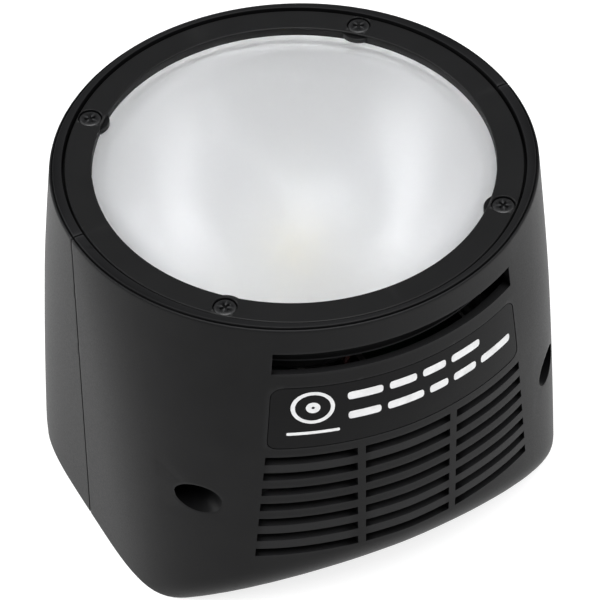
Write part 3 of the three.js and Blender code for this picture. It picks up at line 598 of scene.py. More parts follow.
def perimeter(row0, row1, col0, col1):
    """(row, column) pairs round a block of cells, anticlockwise from its low left corner."""
    bottom = [(row0, c) for c in range(col0, col1)]
    right = [(r, col1) for r in range(row0, row1)]
    top = [(row1, c) for c in range(col1, col0, -1)]
    left = [(r, col0) for r in range(row1, row0, -1)]
    return bottom + right + top + left


def label_edge(x, z, inwards):
    """The point of the label's rounded outline that lies nearest to (x, z), moved inwards."""
    sign = -1 if x < 0 else 1
    s = abs(x) - vent_end(z)
    core_s = min(s, -LABEL_CORNER)
    core_z = min(max(z, LABEL_LOW + LABEL_CORNER), LABEL_HIGH - LABEL_CORNER)
    away = Vector((s - core_s, z - core_z)).normalized() * (LABEL_CORNER - inwards)
    return x + sign * (core_s + away.x - s), core_z + away.y


def coons(loop, columns, rows):
    """Fills a closed loop of (x, z), listed as perimeter() does, with a grid of rows+1 by columns+1."""
    bottom = loop[:columns + 1]
    right = loop[columns:columns + rows + 1]
    top = loop[columns + rows:2 * columns + rows + 1][::-1]
    left = [loop[0], *loop[2 * columns + rows:][::-1]]
    grid = []
    for j in range(rows + 1):
        v = j / rows
        line = []
        for i in range(columns + 1):
            u = i / columns
            line.append(tuple(
                (1 - v) * bottom[i][k] + v * top[i][k] + (1 - u) * left[j][k] + u * right[j][k]
                - (1 - u) * (1 - v) * bottom[0][k] - u * (1 - v) * bottom[-1][k]
                - (1 - u) * v * top[0][k] - u * v * top[-1][k] for k in (0, 1)))
        grid.append(line)
    return grid


def grid_faces(grid):
    """The cells of a grid of point numbers."""
    return [(low[i], low[i + 1], high[i + 1], high[i])
            for low, high in zip(grid, grid[1:]) for i in range(len(low) - 1)]


def levels_between(z0, z1):
    return [z for z in WALL_LEVELS if z0 <= z <= z1]


class Shell:
    """The mesh of one shell: a grid of cells round the profile, with blocks left out and filled again."""

    def __init__(self):
        self.rows = profile_rows()
        self.keys = {key: i for i, (key, _) in enumerate(self.rows) if key}
        self.points, self.faces = [], []
        self.missing, self.bevels = set(), set()
        self.grid = [[self.add(make(column)) for column in COLUMNS] for _, make in self.rows]

    def add(self, point):
        self.points.append(point)
        return len(self.points) - 1

    def bridge(self, loop_a, loop_b):
        """A band of faces between two loops with as many points."""
        for i in range(len(loop_a)):
            k = (i + 1) % len(loop_a)
            self.faces.append((loop_a[i], loop_a[k], loop_b[k], loop_b[i]))

    def tag(self, loop):
        """Notes a loop's edges for rounding."""
        for a, b in zip(loop, loop[1:] + loop[:1]):
            self.bevels.add(frozenset((a, b)))

    def remove(self, layer, z0, z1, col0, col1):
        """Leaves out a block of the outer or inner layer and returns its border, in the outer order."""
        levels = levels_between(z0, z1)
        for low, high in zip(levels, levels[1:]):
            row = min(self.keys[(layer, low)], self.keys[(layer, high)])
            self.missing.update((row, c) for c in range(col0, col1))
        border = perimeter(0, len(levels) - 1, col0, col1)
        return [self.grid[self.keys[(layer, levels[r])]][c] for r, c in border]

    def opening(self, z0, z1, col0, col1, drop):
        """A hole through the wall, with a sill that falls inwards."""
        outer = self.remove("out", z0, z1, col0, col1)
        inner = self.remove("in", z0, z1, col0, col1)
        for i in inner[:col1 - col0 + 1]:
            self.points[i].z = z0 - drop
        self.bridge(outer, inner)
        self.tag(outer)

    def close(self):
        """Makes the faces of the remaining cells and of the two ends at the seam."""
        count = len(self.rows)
        for r in range(count):
            here, there = self.grid[r], self.grid[(r + 1) % count]
            for c in range(len(COLUMNS) - 1):
                if (r, c) not in self.missing:
                    self.faces.append((here[c], here[c + 1], there[c + 1], there[c]))
        for c in (0, len(COLUMNS) - 1):
            self.faces.append(tuple(row[c] for row in self.grid))
            for r in range(self.keys["ledge"]):
                self.bevels.add(frozenset((self.grid[r][c], self.grid[r + 1][c])))


def cut_vents(shell):
    left_end, right_end = column_pair("vent", 1.0)
    left_bar, right_bar = column_pair("x", MULLION_OUTER)
    left_middle, right_middle = column_pair("x", MULLION_INNER)
    shell.opening(SLOT_LOW, SLOT_HIGH, left_end, right_end, SLOT_SILL_DROP)
    for row in GRILLE_ROWS:
        for ends in ((left_end, left_bar), (left_middle, right_middle), (right_bar, right_end)):
            shell.opening(row - GRILLE_HALF, row + GRILLE_HALF, *ends, GRILLE_SILL_DROP)


def sink_label(shell):
    """The label's recess: its block of cells is drawn again round the rounded outline, with a floor."""
    col0, col1 = column_pair("margin", 1.0)
    border = shell.remove("out", *LABEL_BLOCK_Z, col0, col1)
    across = col1 - col0
    up = len(border) // 2 - across
    outline = [label_edge(shell.points[i].x, shell.points[i].z, 0) for i in border]
    edge = [shell.add(on_wall(x, z, 0)) for x, z in outline]
    shell.bridge(border, edge)
    shell.tag(edge)
    floor = [[shell.add(on_wall(x, z, LABEL_RECESS)) for x, z in line]
             for line in coons(outline, across, up)]
    shell.bridge(edge, [floor[r][c] for r, c in perimeter(0, up, 0, across)])
    shell.faces += grid_faces(floor)


def screw_post(shell, sign, near):
    """A screw bore through the near shell, or a blind screw boss in the far one."""
    cols = sorted((column_index(sign, "x", BLOCK_LOW_X), column_index(sign, "x", BLOCK_HIGH_X)))
    centre = sign * BORE_X
    inner = shell.remove("in", *BLOCK_Z, *cols)
    border = shell.remove("out", *BLOCK_Z, *cols) if near else inner

    def ring(radius, inset=0, y=None):
        """A loop round the screw's axis, on the wall at the inset or else on the plane at y."""
        made = []
        for i in border:
            angle = math.atan2(shell.points[i].z - BORE_Z, shell.points[i].x - centre)
            x, z = centre + radius * math.cos(angle), BORE_Z + radius * math.sin(angle)
            made.append(shell.add(on_wall(x, z, inset) if y is None else Vector((x, y, z))))
        return made

    if near:
        mouth = ring(BORE_RADIUS)
        shell.tag(mouth)
        loops = [border, ring(BORE_RADIUS + BORE_COLLAR), mouth, ring(BORE_RADIUS, y=-BORE_FLOOR),
                 ring(SCREW_HOLE, y=-BORE_FLOOR), ring(SCREW_HOLE, y=-SEAM), ring(BOSS_RADIUS, y=-SEAM),
                 ring(BOSS_RADIUS, inset=WALL), inner]
    else:
        loops = [inner, ring(FAR_BOSS_RADIUS, inset=WALL), ring(FAR_BOSS_RADIUS, y=-SEAM),
                 ring(SCREW_HOLE, y=-SEAM), ring(SCREW_HOLE, y=-FAR_HOLE_END)]
        shell.faces.append(tuple(loops[-1]))
    for a, b in zip(loops, loops[1:]):
        shell.bridge(a, b)


def housing_half(name, node, near):
    shell = Shell()
    cut_vents(shell)
    sink_label(shell)
    for sign in (-1, 1):
        screw_post(shell, sign, near)
    shell.close()
    item = mesh_object(name, shell.points if near else half_turn(shell.points), shell.faces)
    bevel_edges(item, shell.bevels, SHELL_ROUNDING, clamp=True)
    piece(item, HOUSING, "housing_plastic", node)


housing_half("near_housing", "near_shell", near=True)
housing_half("far_housing", "far_shell", near=False)


# ---------- labels

def label_plate(name, node, near):
    """A thin plate that follows the wall, with the recess's rounded outline."""
    col0, col1 = column_pair("margin", 1.0)
    levels = levels_between(*LABEL_BLOCK_Z)
    across, up = col1 - col0, len(levels) - 1
    outline = []
    for r, c in perimeter(0, up, col0, col1):
        at = place(COLUMNS[c], levels[r], 0, levels[r])
        outline.append(label_edge(at.x, at.z, LABEL_GAP))
    spots = [spot for line in coons(outline, across, up) for spot in line]
    points = [on_wall(x, z, LABEL_FACE) for x, z in spots]
    points += [on_wall(x, z, LABEL_FACE + LABEL_THICKNESS) for x, z in spots]
    back = len(spots)
    stride = across + 1
    faces = []
    for base in (0, back):
        faces += grid_faces([range(base + r * stride, base + (r + 1) * stride) for r in range(up + 1)])
    rim = [r * stride + c for r, c in perimeter(0, up, 0, across)]
    edges = list(zip(rim, rim[1:] + rim[:1]))
    faces += [(a, b, b + back, a + back) for a, b in edges]
    item = mesh_object(name, points if near else half_turn(points), faces)
    bevel_edges(item, edges, LABEL_ROUNDING)
    piece(item, PANEL, "label_film", node)


label_plate("near_label_plate", "near_label", near=True)
label_plate("far_label_plate", "far_label", near=False)


INK = 0.03  # how far the print stands above the plate's face, and as much below it
PRINT_STEP = 0.9  # length of a bar's cells, so that it follows the wall
MARK_X, MARK_Z = -15.2, 46.0
MARK_RINGS = [(2.6, 3.2, 48), (0.25, 1.05, 32)]  # inner and outer radius, and the number of sides
RULE_ENDS, RULE_Z, RULE_HEIGHT = (-19.2, -11.4), 40.9, 0.55
BAR_START, BAR_HEIGHT, BAR_GAP = -10.0, 1.5, 1.1
BAR_ROWS = {47.4: (5.6, 4.6, 4.2, 5.6), 43.4: (5.2, 6.2, 3.4, 4.4, 6.4)}  # each row's height and its lengths
BAR_END = [(0.0, 0.35), (0.12, 0.7), (0.35, 0.93)]  # a bar's round end, as shares of half its height


def print_strip(points, faces, pairs, closed=False):
    """Adds a thin solid band between two lines of (x, z)."""
    start = len(points)
    for inset in (LABEL_FACE - INK, LABEL_FACE + INK):
        points += [on_wall(x, z, inset) for pair in pairs for x, z in pair]
    layer = 2 * len(pairs)
    for i in range(len(pairs) if closed else len(pairs) - 1):
        a, b = 2 * i, 2 * ((i + 1) % len(pairs))
        for base in (0, layer):
            faces.append(tuple(start + base + k for k in (a, b, b + 1, a + 1)))
        for side in (0, 1):
            faces.append(tuple(start + side + k for k in (a, b, b + layer, a + layer)))
    if not closed:
        for a in (0, layer - 2):
            faces.append(tuple(start + k for k in (a, a + 1, a + 1 + layer, a + layer)))


def bar_pairs(x0, x1, z, height):
    """A bar with round ends."""
    half = height / 2
    steps = max(2, round((x1 - x0 - height) / PRINT_STEP))
    spots = [(x0 + along * half, share) for along, share in BAR_END]
    spots += [(mix(x0 + half, x1 - half, i / steps), 1.0) for i in range(steps + 1)]
    spots += [(x1 - along * half, share) for along, share in reversed(BAR_END)]
    return [((x, z - half * share), (x, z + half * share)) for x, share in spots]


def ring_pairs(inner, outer, steps):
    return [tuple((MARK_X + r * math.cos(a), MARK_Z + r * math.sin(a)) for r in (inner, outer))
            for a in turns(steps)]


def printed_mark():
    """A neutral mark in thin raised ink: a ring with a dot, a short rule, and two rows of plain bars."""
    points, faces = [], []
    for ring in MARK_RINGS:
        print_strip(points, faces, ring_pairs(*ring), closed=True)
    print_strip(points, faces, bar_pairs(*RULE_ENDS, RULE_Z, RULE_HEIGHT))
    for z, lengths in BAR_ROWS.items():
        x = BAR_START
        for length in lengths:
            print_strip(points, faces, bar_pairs(x, x + length, z, BAR_HEIGHT))
            x += length + BAR_GAP
    piece(solid("near_label_mark", points, faces), PRINT, "label_film", weighted=False)


printed_mark()


# ---------- front

def on_screw_circle(degrees):
    angle = math.radians(degrees)
    return RING_SCREW_CIRCLE * math.cos(angle), RING_SCREW_CIRCLE * math.sin(angle)


RING_EDGE = [(0, 0.22), (0.07, 0.07), (0.22, 0)]  # how far the edge's points lie inwards and down
LOBE_RADIUS, LOBE_THICKNESS = 3.05, 0.8
RING_POCKET_RADIUS, RING_POCKET_DEPTH = 1.9, 0.85  # the pocket of a screw head in the ring


def front_ring():
    profile = [(RING_INNER, RING_BOTTOM), (RING_OUTER, RING_BOTTOM)]
    profile += [(RING_OUTER - across, RING_TOP - down) for across, down in RING_EDGE]
    profile += [(RING_INNER + across, RING_TOP - down) for across, down in reversed(RING_EDGE)]
    ring = lathe("front_ring_black", profile, 256, closed=True)
    lobe_top = RING_BOTTOM + LOBE_THICKNESS
    pocket_floor = RING_TOP - RING_POCKET_DEPTH
    lobe = [(0, RING_BOTTOM), (LOBE_RADIUS, RING_BOTTOM), (LOBE_RADIUS, lobe_top - 0.1),
            (LOBE_RADIUS - 0.1, lobe_top), (0, lobe_top)]
    bore = [(0, RING_BOTTOM - 1), (SCREW_HOLE, RING_BOTTOM - 1), (SCREW_HOLE, pocket_floor),
            (RING_POCKET_RADIUS, pocket_floor), (RING_POCKET_RADIUS, RING_TOP - 0.1),
            (RING_POCKET_RADIUS + 0.2, RING_TOP + 0.1), (0, RING_TOP + 0.1)]
    places = [on_screw_circle(degrees) for degrees in RING_SCREW_ANGLES]
    lobes = together("lobes", [lathe("lobe", lobe, 64, x=x, y=y) for x, y in places])
    combine(lobes, rod("limit", RING_OUTER - 0.3, RING_BOTTOM - 1, RING_TOP, sides=256), "INTERSECT")
    join(ring, lobes)
    cut(ring, together("bores", [lathe("bore", bore, 64, x=x, y=y) for x, y in places]))
    piece(ring, RING, "ring_steel", "front_ring", sharp=40)


front_ring()


def cross_tool(arm, half, floor, top):
    """A tapered plus sign that cuts a cross recess."""
    corners = [(arm, half), (half, half), (half, arm), (-half, arm), (-half, half), (-arm, half),
               (-arm, -half), (-half, -half), (-half, -arm), (half, -arm), (half, -half), (arm, -half)]
    return loft("cross", [[(x * scale, y * scale, z) for x, y in corners]
                          for scale, z in ((0.62, floor), (1, top))])


THREAD_PITCH = 0.5
# The head's outline, as shares of its radius and its height.
PAN_HEAD = [(0.96, 0), (1, 0.12), (1, 0.45), (0.95, 0.72), (0.82, 0.9), (0.6, 0.98), (0, 1)]
RING_SCREW = {"head": 1.75, "rise": 0.62, "shank": 0.9, "length": 4}
HOUSING_SCREW = {"head": 2.4, "rise": 1.6, "shank": 1.0, "length": 16}
PLATE_SCREW = {"head": 2.1, "rise": 1.1, "shank": 1.0, "length": 8}
RING_SCREW_SEAT = 0.75  # depth of the seat below the ring's face


def screw(name, node, matrix, head, rise, shank, length):
    """A pan head screw with a cross recess. Its seat is at z = 0 before the matrix places it."""
    core = shank * 0.86
    thread = []
    z = -length + 0.3
    while z < -0.6:
        thread += [(core, z), (shank, z + THREAD_PITCH / 2)]
        z += THREAD_PITCH
    profile = [(0, -length), (shank * 0.6, -length), *thread, (core, -0.2), (core, 0),
               *[(head * across, rise * up) for across, up in PAN_HEAD]]
    item = lathe(name, profile, 48)
    cut(item, cross_tool(head * 0.6, head * 0.15, rise * 0.3, rise * 1.2))
    move(item, matrix)
    piece(item, SCREW, "screw_steel", node, sharp=38)


for number, degrees in enumerate(RING_SCREW_ANGLES, 1):
    x, y = on_screw_circle(degrees)
    turn = Matrix.Rotation(math.radians(degrees + 17 * number), 4, "Z")
    screw(f"ring_screw_{number}_black", f"ring_screw_{number}",
          Matrix.Translation((x, y, RING_TOP - RING_SCREW_SEAT)) @ turn, **RING_SCREW)

for number, sign in enumerate((-1, 1), 1):
    turn = Matrix.Rotation(math.pi / 2, 4, "X") @ Matrix.Rotation(0.6 * number, 4, "Z")
    screw(f"housing_screw_{number}_black", f"housing_screw_{number}",
          Matrix.Translation((sign * BORE_X, -BORE_FLOOR - 0.1, BORE_Z)) @ turn, **HOUSING_SCREW)


def front_glass():
    low, high = box_mm("front_glass")
    start, *edge, end = rounded([(0, low.z), (high.x, low.z), (high.x, high.z), (0, high.z)], 0.3)
    inner, outer = 12.0, 24.0  # rings of points that divide the flat faces
    profile = [start, (inner, low.z), (outer, low.z), *edge, (outer, high.z), (inner, high.z), end]
    piece(lathe("front_glass_frosted", profile, 192), GLASS, "front_glass", "front_glass")


FLANGE_TOP, FLANGE_BOTTOM, FLANGE_INNER = 55.6, 54.4, 30.9
SKIRT_INNER, SKIRT_OUTER = 33.6, 35.4
SKIRT_BOTTOM = box_mm("lamp_frame")[0].z
SKIRT_HIGHLIGHT_TOP = SKIRT_BOTTOM + 0.55  # top of the paler band, a painted highlight along the skirt's lower edge
COLUMN_RADIUS = 1.65


def lamp_frame():
    frame_body = lathe("lamp_frame_body", [
        (FLANGE_INNER, FLANGE_BOTTOM), (SKIRT_INNER - 0.1, FLANGE_BOTTOM), (SKIRT_INNER, FLANGE_BOTTOM - 0.1),
        (SKIRT_INNER, SKIRT_BOTTOM + 0.1), (SKIRT_INNER + 0.1, SKIRT_BOTTOM),
        (SKIRT_OUTER - 0.25, SKIRT_BOTTOM), (SKIRT_OUTER, SKIRT_BOTTOM + 0.25), (SKIRT_OUTER, SKIRT_HIGHLIGHT_TOP),
        (SKIRT_OUTER, FLANGE_TOP - 0.15), (SKIRT_OUTER - 0.15, FLANGE_TOP), (FLANGE_INNER, FLANGE_TOP),
    ], 192, closed=True)
    columns = [rod("column", COLUMN_RADIUS, FLANGE_BOTTOM + 0.2, LEDGE_BOTTOM - 0.3, *on_screw_circle(angle))
               for angle in RING_SCREW_ANGLES]
    join(frame_body, together("columns", columns))
    piece(frame_body, INNER, "inner_plastic", "lamp_frame")
    # The skirt's lower edge gets the paler grey, a painted highlight.
    second_material(frame_body, SKIRT_PAINTED_HIGHLIGHT, SKIRT_HIGHLIGHT_TOP)


front_glass()
lamp_frame()


# ---------- lamp

base_low, base_high = box_mm("lamp_base")
MOUTH_RADIUS, BOWL_THICKNESS, BOWL_LIP = 30.0, 0.6, 0.5
ARC_RADIUS, TUBE_RADIUS, TUBE_Z = 10.8, 2.6, 44.0
GAP_ANGLE = math.radians(25)  # half of the gap between the tube's legs
leg = Vector((ARC_RADIUS * math.sin(GAP_ANGLE), -ARC_RADIUS * math.cos(GAP_ANGLE), 0))
SOCKET_RADIUS, SOCKET_DEPTH = TUBE_RADIUS + 0.3, 2.3
LEAD_HOLE = 0.9
POST_RADIUS, FIN_RADIUS, FOOT_RADIUS = 2.6, 3.0, 4.2
FIN_PITCH = 0.9


def reflector():
    """A parabolic bowl with a flat lip, mirror inside; its outside gets painted shade, plain black, so that
    the head's inside looks dark through the vents.
    """
    low, high = box_mm("reflector")
    lip = high.z - BOWL_LIP
    bottom = base_high.x + 0.3
    growth = (MOUTH_RADIUS ** 2 - bottom ** 2) / (lip - low.z)
    levels = [mix(low.z, lip, i / 24) for i in range(25)]
    inside = [(math.sqrt(bottom ** 2 + growth * (z - low.z)), z) for z in levels]
    outside = [(r + BOWL_THICKNESS, z) for r, z in inside]
    profile = outside + [(high.x, lip), (high.x, high.z), (MOUTH_RADIUS, high.z)] + inside[::-1]
    bowl = lathe("reflector_bowl", profile, 144, closed=True)
    piece(bowl, MIRROR, "reflector_metal", "reflector")
    second_material(bowl, PAINTED_SHADE_BLACK, lip, rear=True)


def flash_tube():
    low, steps = base_high.z - 2, 12
    start = -math.pi / 2 + GAP_ANGLE
    path = [(leg.x, leg.y, low), (leg.x, leg.y, low + 5), (leg.x, leg.y, TUBE_Z - 4)]
    for i in range(1, steps):
        angle = start + (2 * math.pi - 2 * GAP_ANGLE) * i / steps
        path.append((ARC_RADIUS * math.cos(angle), ARC_RADIUS * math.sin(angle), TUBE_Z))
    path += [(-leg.x, leg.y, TUBE_Z - 4), (-leg.x, leg.y, low + 5), (-leg.x, leg.y, low)]
    tube = sweep("flash_tube_horseshoe", smooth_path(path, 7), TUBE_RADIUS, 28)
    piece(tube, QUARTZ, "tube_glass", "flash_tube")


def lamp_base():
    disc = lathe("lamp_base_disc", rounded([
        (0, base_low.z), (base_high.x - 1, base_low.z), (base_high.x, base_low.z + 1),
        (base_high.x, base_high.z), (0, base_high.z)], 0.4), 128)
    sockets = [rod("socket", SOCKET_RADIUS, base_high.z - SOCKET_DEPTH, base_high.z + 1, sign * leg.x, leg.y)
               for sign in (-1, 1)]
    cut(disc, together("sockets", sockets), rod("hole", LEAD_HOLE, 0, base_high.z + 1, 0, ARC_RADIUS))
    piece(disc, CERAMIC, "ceramic", "lamp_base")
    # Painted shade: the base's sides and bottom are black, as they lie in shade inside the head.
    second_material(disc, PAINTED_SHADE_BLACK, base_high.z - 0.5, rear=True)


def trigger_band():
    low, high = box_mm("trigger_band")
    inner, outer = TUBE_RADIUS + 0.3, TUBE_RADIUS + 0.8
    band = lathe("trigger_clip", [(inner, low.x), (outer, low.x), (outer, high.x), (inner, high.x)], 64,
                 closed=True)
    move(band, Matrix.Translation((0, ARC_RADIUS, TUBE_Z)) @ Matrix.Rotation(math.pi / 2, 4, "Y"))
    piece(band, STEEL, "bright_steel", "trigger_band")


def led_post():
    low, high = box_mm("led_post")
    first_fin = low.z + 2.2
    fins = []
    for i in range(4):
        z = first_fin + i * FIN_PITCH
        fins += [(FIN_RADIUS, z), (FIN_RADIUS, z + FIN_PITCH / 2), (POST_RADIUS, z + FIN_PITCH / 2),
                 (POST_RADIUS, z + FIN_PITCH)]
    profile = [(0, low.z), (FOOT_RADIUS, low.z), (FOOT_RADIUS, low.z + 0.9), (POST_RADIUS, low.z + 1.6),
               (POST_RADIUS, first_fin), *fins, (FIN_RADIUS, high.z - 0.3), (FIN_RADIUS - 0.1, high.z),
               (0, high.z)]
    piece(lathe("led_post_finned", profile, 64), ALUMINIUM, "heatsink_aluminium", "led_post")


reflector()
flash_tube()
lamp_base()
trigger_band()
led_post()


# ---------- rear plate and contacts

PLATE_THICKNESS = 2.5
PLATE_SCREW_X, PLATE_SCREW_Y, PLATE_SCREW_SEAT = 28.5, 15.5, 1.2
POCKET_X, POCKET_Y, POCKET_DEPTH, POCKET_WALL = 22.0, 10.0, 10.0, 1.5
POCKET_ROOF = POCKET_DEPTH + 2
BOARD_SCREW_X = 20.0
BOARD_POST_RADIUS, BOARD_PILOT_RADIUS = 2.4, 1.15
LATCH_HALF, LATCH_LOW, LATCH_HIGH = 3, 4, 7  # a latch window's half width and its heights
HEAD_POCKET_RADIUS = 2.4
POWER_PIN_X, POWER_PIN_RADIUS = 11.5, 1.5
PIN_CLEARANCE = 0.3
SIGNAL_PIN_X = [(number - 2.5) * 3.6 for number in (1, 2, 3, 4)]
PIN_RADIUS, COLLAR_RADIUS, COLLAR_HEIGHT = 0.7, 1.15, 0.6
PIN_BORE_STEP, PIN_BORE_END = 4.7, 9.2  # where a signal pin's bore widens, and its end
WIRE_RADIUS, COIL_TURNS, COIL_STEPS = 0.13, 3, 24


def plate_outline():
    """The rear section moved inwards, as points all round it."""
    near = [place(column, 0, PLATE_INSET, 0) for column in COLUMNS if column[1:] != HALF[-1]]
    return [(p.x, p.y) for p in near + half_turn(near)]


def rounded_box(name, x, y, z0, z1, radius):
    """A box centred on the Z axis with round upright edges."""
    outline = []
    for quarter, (sx, sy) in enumerate(((1, 1), (-1, 1), (-1, -1), (1, -1))):
        for k in range(7):
            angle = math.pi / 2 * (quarter + k / 6)
            outline.append((sx * (x - radius) + radius * math.cos(angle),
                            sy * (y - radius) + radius * math.sin(angle)))
    return prism(name, outline, z0, z1)


def rear_plate():
    top = box_mm("base_plate")[1].z
    body = prism("rear_plate", plate_outline(), 0, PLATE_THICKNESS)
    join(body, rounded_box("tub", POCKET_X + POCKET_WALL, POCKET_Y + POCKET_WALL, 0.6, POCKET_ROOF, 2.2))
    posts = [rod("post", BOARD_POST_RADIUS, POCKET_ROOF - 1, top, sign * BOARD_SCREW_X) for sign in (-1, 1)]
    join(body, together("posts", posts))
    cut(body, rounded_box("pocket", POCKET_X, POCKET_Y, -1, POCKET_DEPTH, 1.2))
    seat = PLATE_SCREW_SEAT + 0.1
    screw_bore = [(0, -0.1), (HEAD_POCKET_RADIUS + 0.2, -0.1), (HEAD_POCKET_RADIUS, 0.15),
                  (HEAD_POCKET_RADIUS, seat), (SCREW_HOLE, seat), (SCREW_HOLE, 4), (0, 4)]
    bores = []
    for sign in (-1, 1):
        latch = sign * (POCKET_X + POCKET_WALL / 2)
        corners = [(latch + x, y * LATCH_HALF) for x, y in ((-2, -1), (2, -1), (2, 1), (-2, 1))]
        bores.append(prism("latch", corners, LATCH_LOW, LATCH_HIGH))
        bores.append(rod("pilot", BOARD_PILOT_RADIUS, POCKET_ROOF + 0.5, top + 1, sign * BOARD_SCREW_X))
        bores.append(rod("power", POWER_PIN_RADIUS + PIN_CLEARANCE, 5, POCKET_ROOF + 1, sign * POWER_PIN_X))
        for y in (-PLATE_SCREW_Y, PLATE_SCREW_Y):
            bores.append(lathe("screw_bore", screw_bore, 48, x=sign * PLATE_SCREW_X, y=y))
    cut(body, together("bores", bores))
    bevel_sharp(body, 0.15)
    piece(body, HOUSING, "housing_plastic", "base_plate", sharp=38)


def contact_block():
    low, high = box_mm("contact_block")
    body = rounded_box("contact_block_black", high.x, high.y, low.z, high.z, 0.8)
    bores = [rod("bore", POWER_PIN_RADIUS + PIN_CLEARANCE, 0, 12, sign * POWER_PIN_X) for sign in (-1, 1)]
    narrow, wide = PIN_RADIUS + 0.25, COLLAR_RADIUS + PIN_CLEARANCE
    bore = [(0, 0), (narrow, 0), (narrow, PIN_BORE_STEP), (wide, PIN_BORE_STEP), (wide, PIN_BORE_END),
            (0, PIN_BORE_END)]
    bores += [lathe("bore", bore, 40, x=x) for x in SIGNAL_PIN_X]
    cut(body, together("bores", bores))
    bevel_sharp(body, 0.12)
    piece(body, INNER, "inner_plastic", "contact_block", sharp=38)


def power_pin(number, x):
    low, high = box_mm(f"power_pin_{number}")
    profile = rounded([(0, low.z), (POWER_PIN_RADIUS / 2, low.z), (POWER_PIN_RADIUS, low.z + 0.8),
                       (POWER_PIN_RADIUS, high.z), (0, high.z)], 0.25)
    piece(lathe(f"power_pin_{number}_brass", profile, 48, x=x), BRASS, "contact_brass", f"power_pin_{number}")


def signal_pin(number, x):
    low, high = box_mm(f"signal_pin_{number}")
    collar = high.z - COLLAR_HEIGHT
    profile = rounded([(0, low.z), (0.45, low.z + 0.04), (PIN_RADIUS, low.z + 0.5), (PIN_RADIUS, collar),
                       (COLLAR_RADIUS, collar), (COLLAR_RADIUS, high.z), (0, high.z)], 0.12)
    piece(lathe(f"signal_pin_{number}_brass", profile, 40, x=x), BRASS, "contact_brass",
          f"signal_pin_{number}", body=f"pin_{number}")


def pin_spring(number, x):
    low, high = box_mm(f"pin_spring_{number}")
    radius = COLLAR_RADIUS - WIRE_RADIUS
    coil = []
    for i in range(COIL_TURNS * COIL_STEPS + 1):
        angle = 2 * math.pi * i / COIL_STEPS
        z = mix(low.z + WIRE_RADIUS, high.z - WIRE_RADIUS, i / (COIL_TURNS * COIL_STEPS))
        coil.append((x + radius * math.cos(angle), radius * math.sin(angle), z))
    spring = sweep(f"pin_spring_{number}_coil", coil, WIRE_RADIUS, 10)
    piece(spring, STEEL, "bright_steel", f"pin_spring_{number}", weighted=False)
    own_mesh(spring)


rear_plate()
for number, (sx, sy) in enumerate(((-1, -1), (1, -1), (1, 1), (-1, 1)), 1):
    turn = Matrix.Rotation(math.pi, 4, "X") @ Matrix.Rotation(0.5 * number, 4, "Z")
    place_screw = Matrix.Translation((sx * PLATE_SCREW_X, sy * PLATE_SCREW_Y, PLATE_SCREW_SEAT))
    screw(f"rear_screw_{number}", f"base_screw_{number}", place_screw @ turn, **PLATE_SCREW)
contact_block()
for number, sign in enumerate((-1, 1), 1):
    power_pin(number, sign * POWER_PIN_X)
for number, x in enumerate(SIGNAL_PIN_X, 1):
    signal_pin(number, x)
    pin_spring(number, x)


# ---------- CAD nodes that stay as they are

CARRIED = {
    "glass_gasket": SILICONE, "modelling_led": LED, "heat_sensor": INNER, "driver_board": BOARD,
    "trigger_coil": TAPE, "trigger_capacitor": RESIN, "lead_socket": SHADED_LEAD_WHITE, "anode_lead": SHADED_LEAD_RED,
    "cathode_lead": SHADED_LEAD_WHITE, "trigger_lead": LEAD_BLACK, "board_screw_1": STEEL, "board_screw_2": STEEL,
}
for node, material in CARRIED.items():
    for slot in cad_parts[node].material_slots:
        slot.material = material


# ---------- camera, floor, lights

FOCAL_PIXELS, IMAGE_PIXELS, SENSOR = 4086.25, 600, 36.0
AZIMUTH, ELEVATION, ROLL = math.radians(-26.4746), math.radians(44.5399), math.radians(-0.9481)
DISTANCE = 659.363
AIM_RIGHT, AIM_UP = 0.541, 0.0177  # the aim's place beside the middle of the part

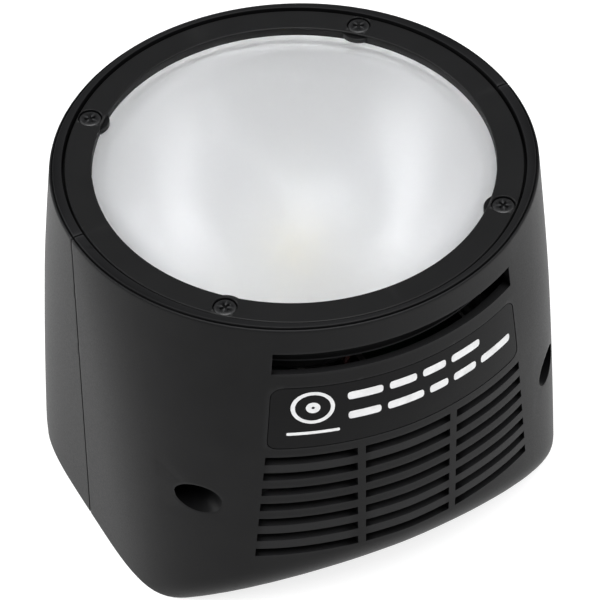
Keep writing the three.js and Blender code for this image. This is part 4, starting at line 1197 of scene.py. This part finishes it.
camera_data = bpy.data.cameras.new("camera")
camera_data.sensor_width = SENSOR
camera_data.lens = SENSOR * FOCAL_PIXELS / IMAGE_PIXELS
camera_data.clip_start, camera_data.clip_end = 0.05, 50
camera = add_object("camera", camera_data)
right = Vector((math.cos(AZIMUTH), math.sin(AZIMUTH), 0))
back = Vector((math.sin(AZIMUTH) * math.cos(ELEVATION), -math.cos(AZIMUTH) * math.cos(ELEVATION),
               math.sin(ELEVATION)))
up = back.cross(right)
target = Vector((0, 0, HEIGHT / 2)) + right * AIM_RIGHT + up * AIM_UP
rolled_right = right * math.cos(ROLL) + up * math.sin(ROLL)
rolled_up = up * math.cos(ROLL) - right * math.sin(ROLL)
camera.matrix_world = (Matrix.Translation((target + back * DISTANCE) * MM)
                       @ Matrix((rolled_right, rolled_up, back)).transposed().to_4x4())
bpy.context.scene.camera = camera
bpy.context.scene.view_settings.view_transform = "Standard"

FLOOR = bpy.data.materials.new("floor")
FLOOR.use_nodes = True
FLOOR_HALF, FLOOR_Z = 3000, -0.05
set_inputs(FLOOR.node_tree.nodes["Principled BSDF"], {
    "Base Color": (0.35, 0.35, 0.35, 1), "Roughness": 0.9, "Specular IOR Level": 0.1,
    "Emission Color": (1, 1, 1, 1), "Emission Strength": 0.8,
})
corners = [(sx * FLOOR_HALF, sy * FLOOR_HALF, FLOOR_Z) for sx, sy in ((-1, -1), (1, -1), (1, 1), (-1, 1))]
floor = mesh_object("floor", corners, [(0, 1, 2, 3)])
floor.data.materials.append(FLOOR)


LIGHT_AIM = Vector((0, 0, 30))


def softbox(name, position, size, watts):
    data = bpy.data.lights.new(name, "AREA")
    data.shape = "RECTANGLE"
    data.size, data.size_y = size[0] * MM, size[1] * MM
    data.energy = watts
    item = add_object(name, data)
    item.location = Vector(position) * MM
    item.rotation_euler = (LIGHT_AIM - Vector(position)).to_track_quat("-Z", "Y").to_euler()


softbox("top_light", (-100, -280, 1050), (900, 900), 15)
softbox("front_left_light", (-740, -120, 1100), (500, 500), 2.4)
softbox("front_right_light", (340, -670, 1100), (500, 500), 2.4)
softbox("left_light", (-800, 520, 430), (500, 700), 6)
softbox("right_light", (900, -200, 450), (400, 800), 2)

world = bpy.data.worlds.new("studio")
bpy.context.scene.world = world
world.use_nodes = True
set_inputs(world.node_tree.nodes["Background"], {"Color": (0.9, 0.92, 0.95, 1), "Strength": 0.3})
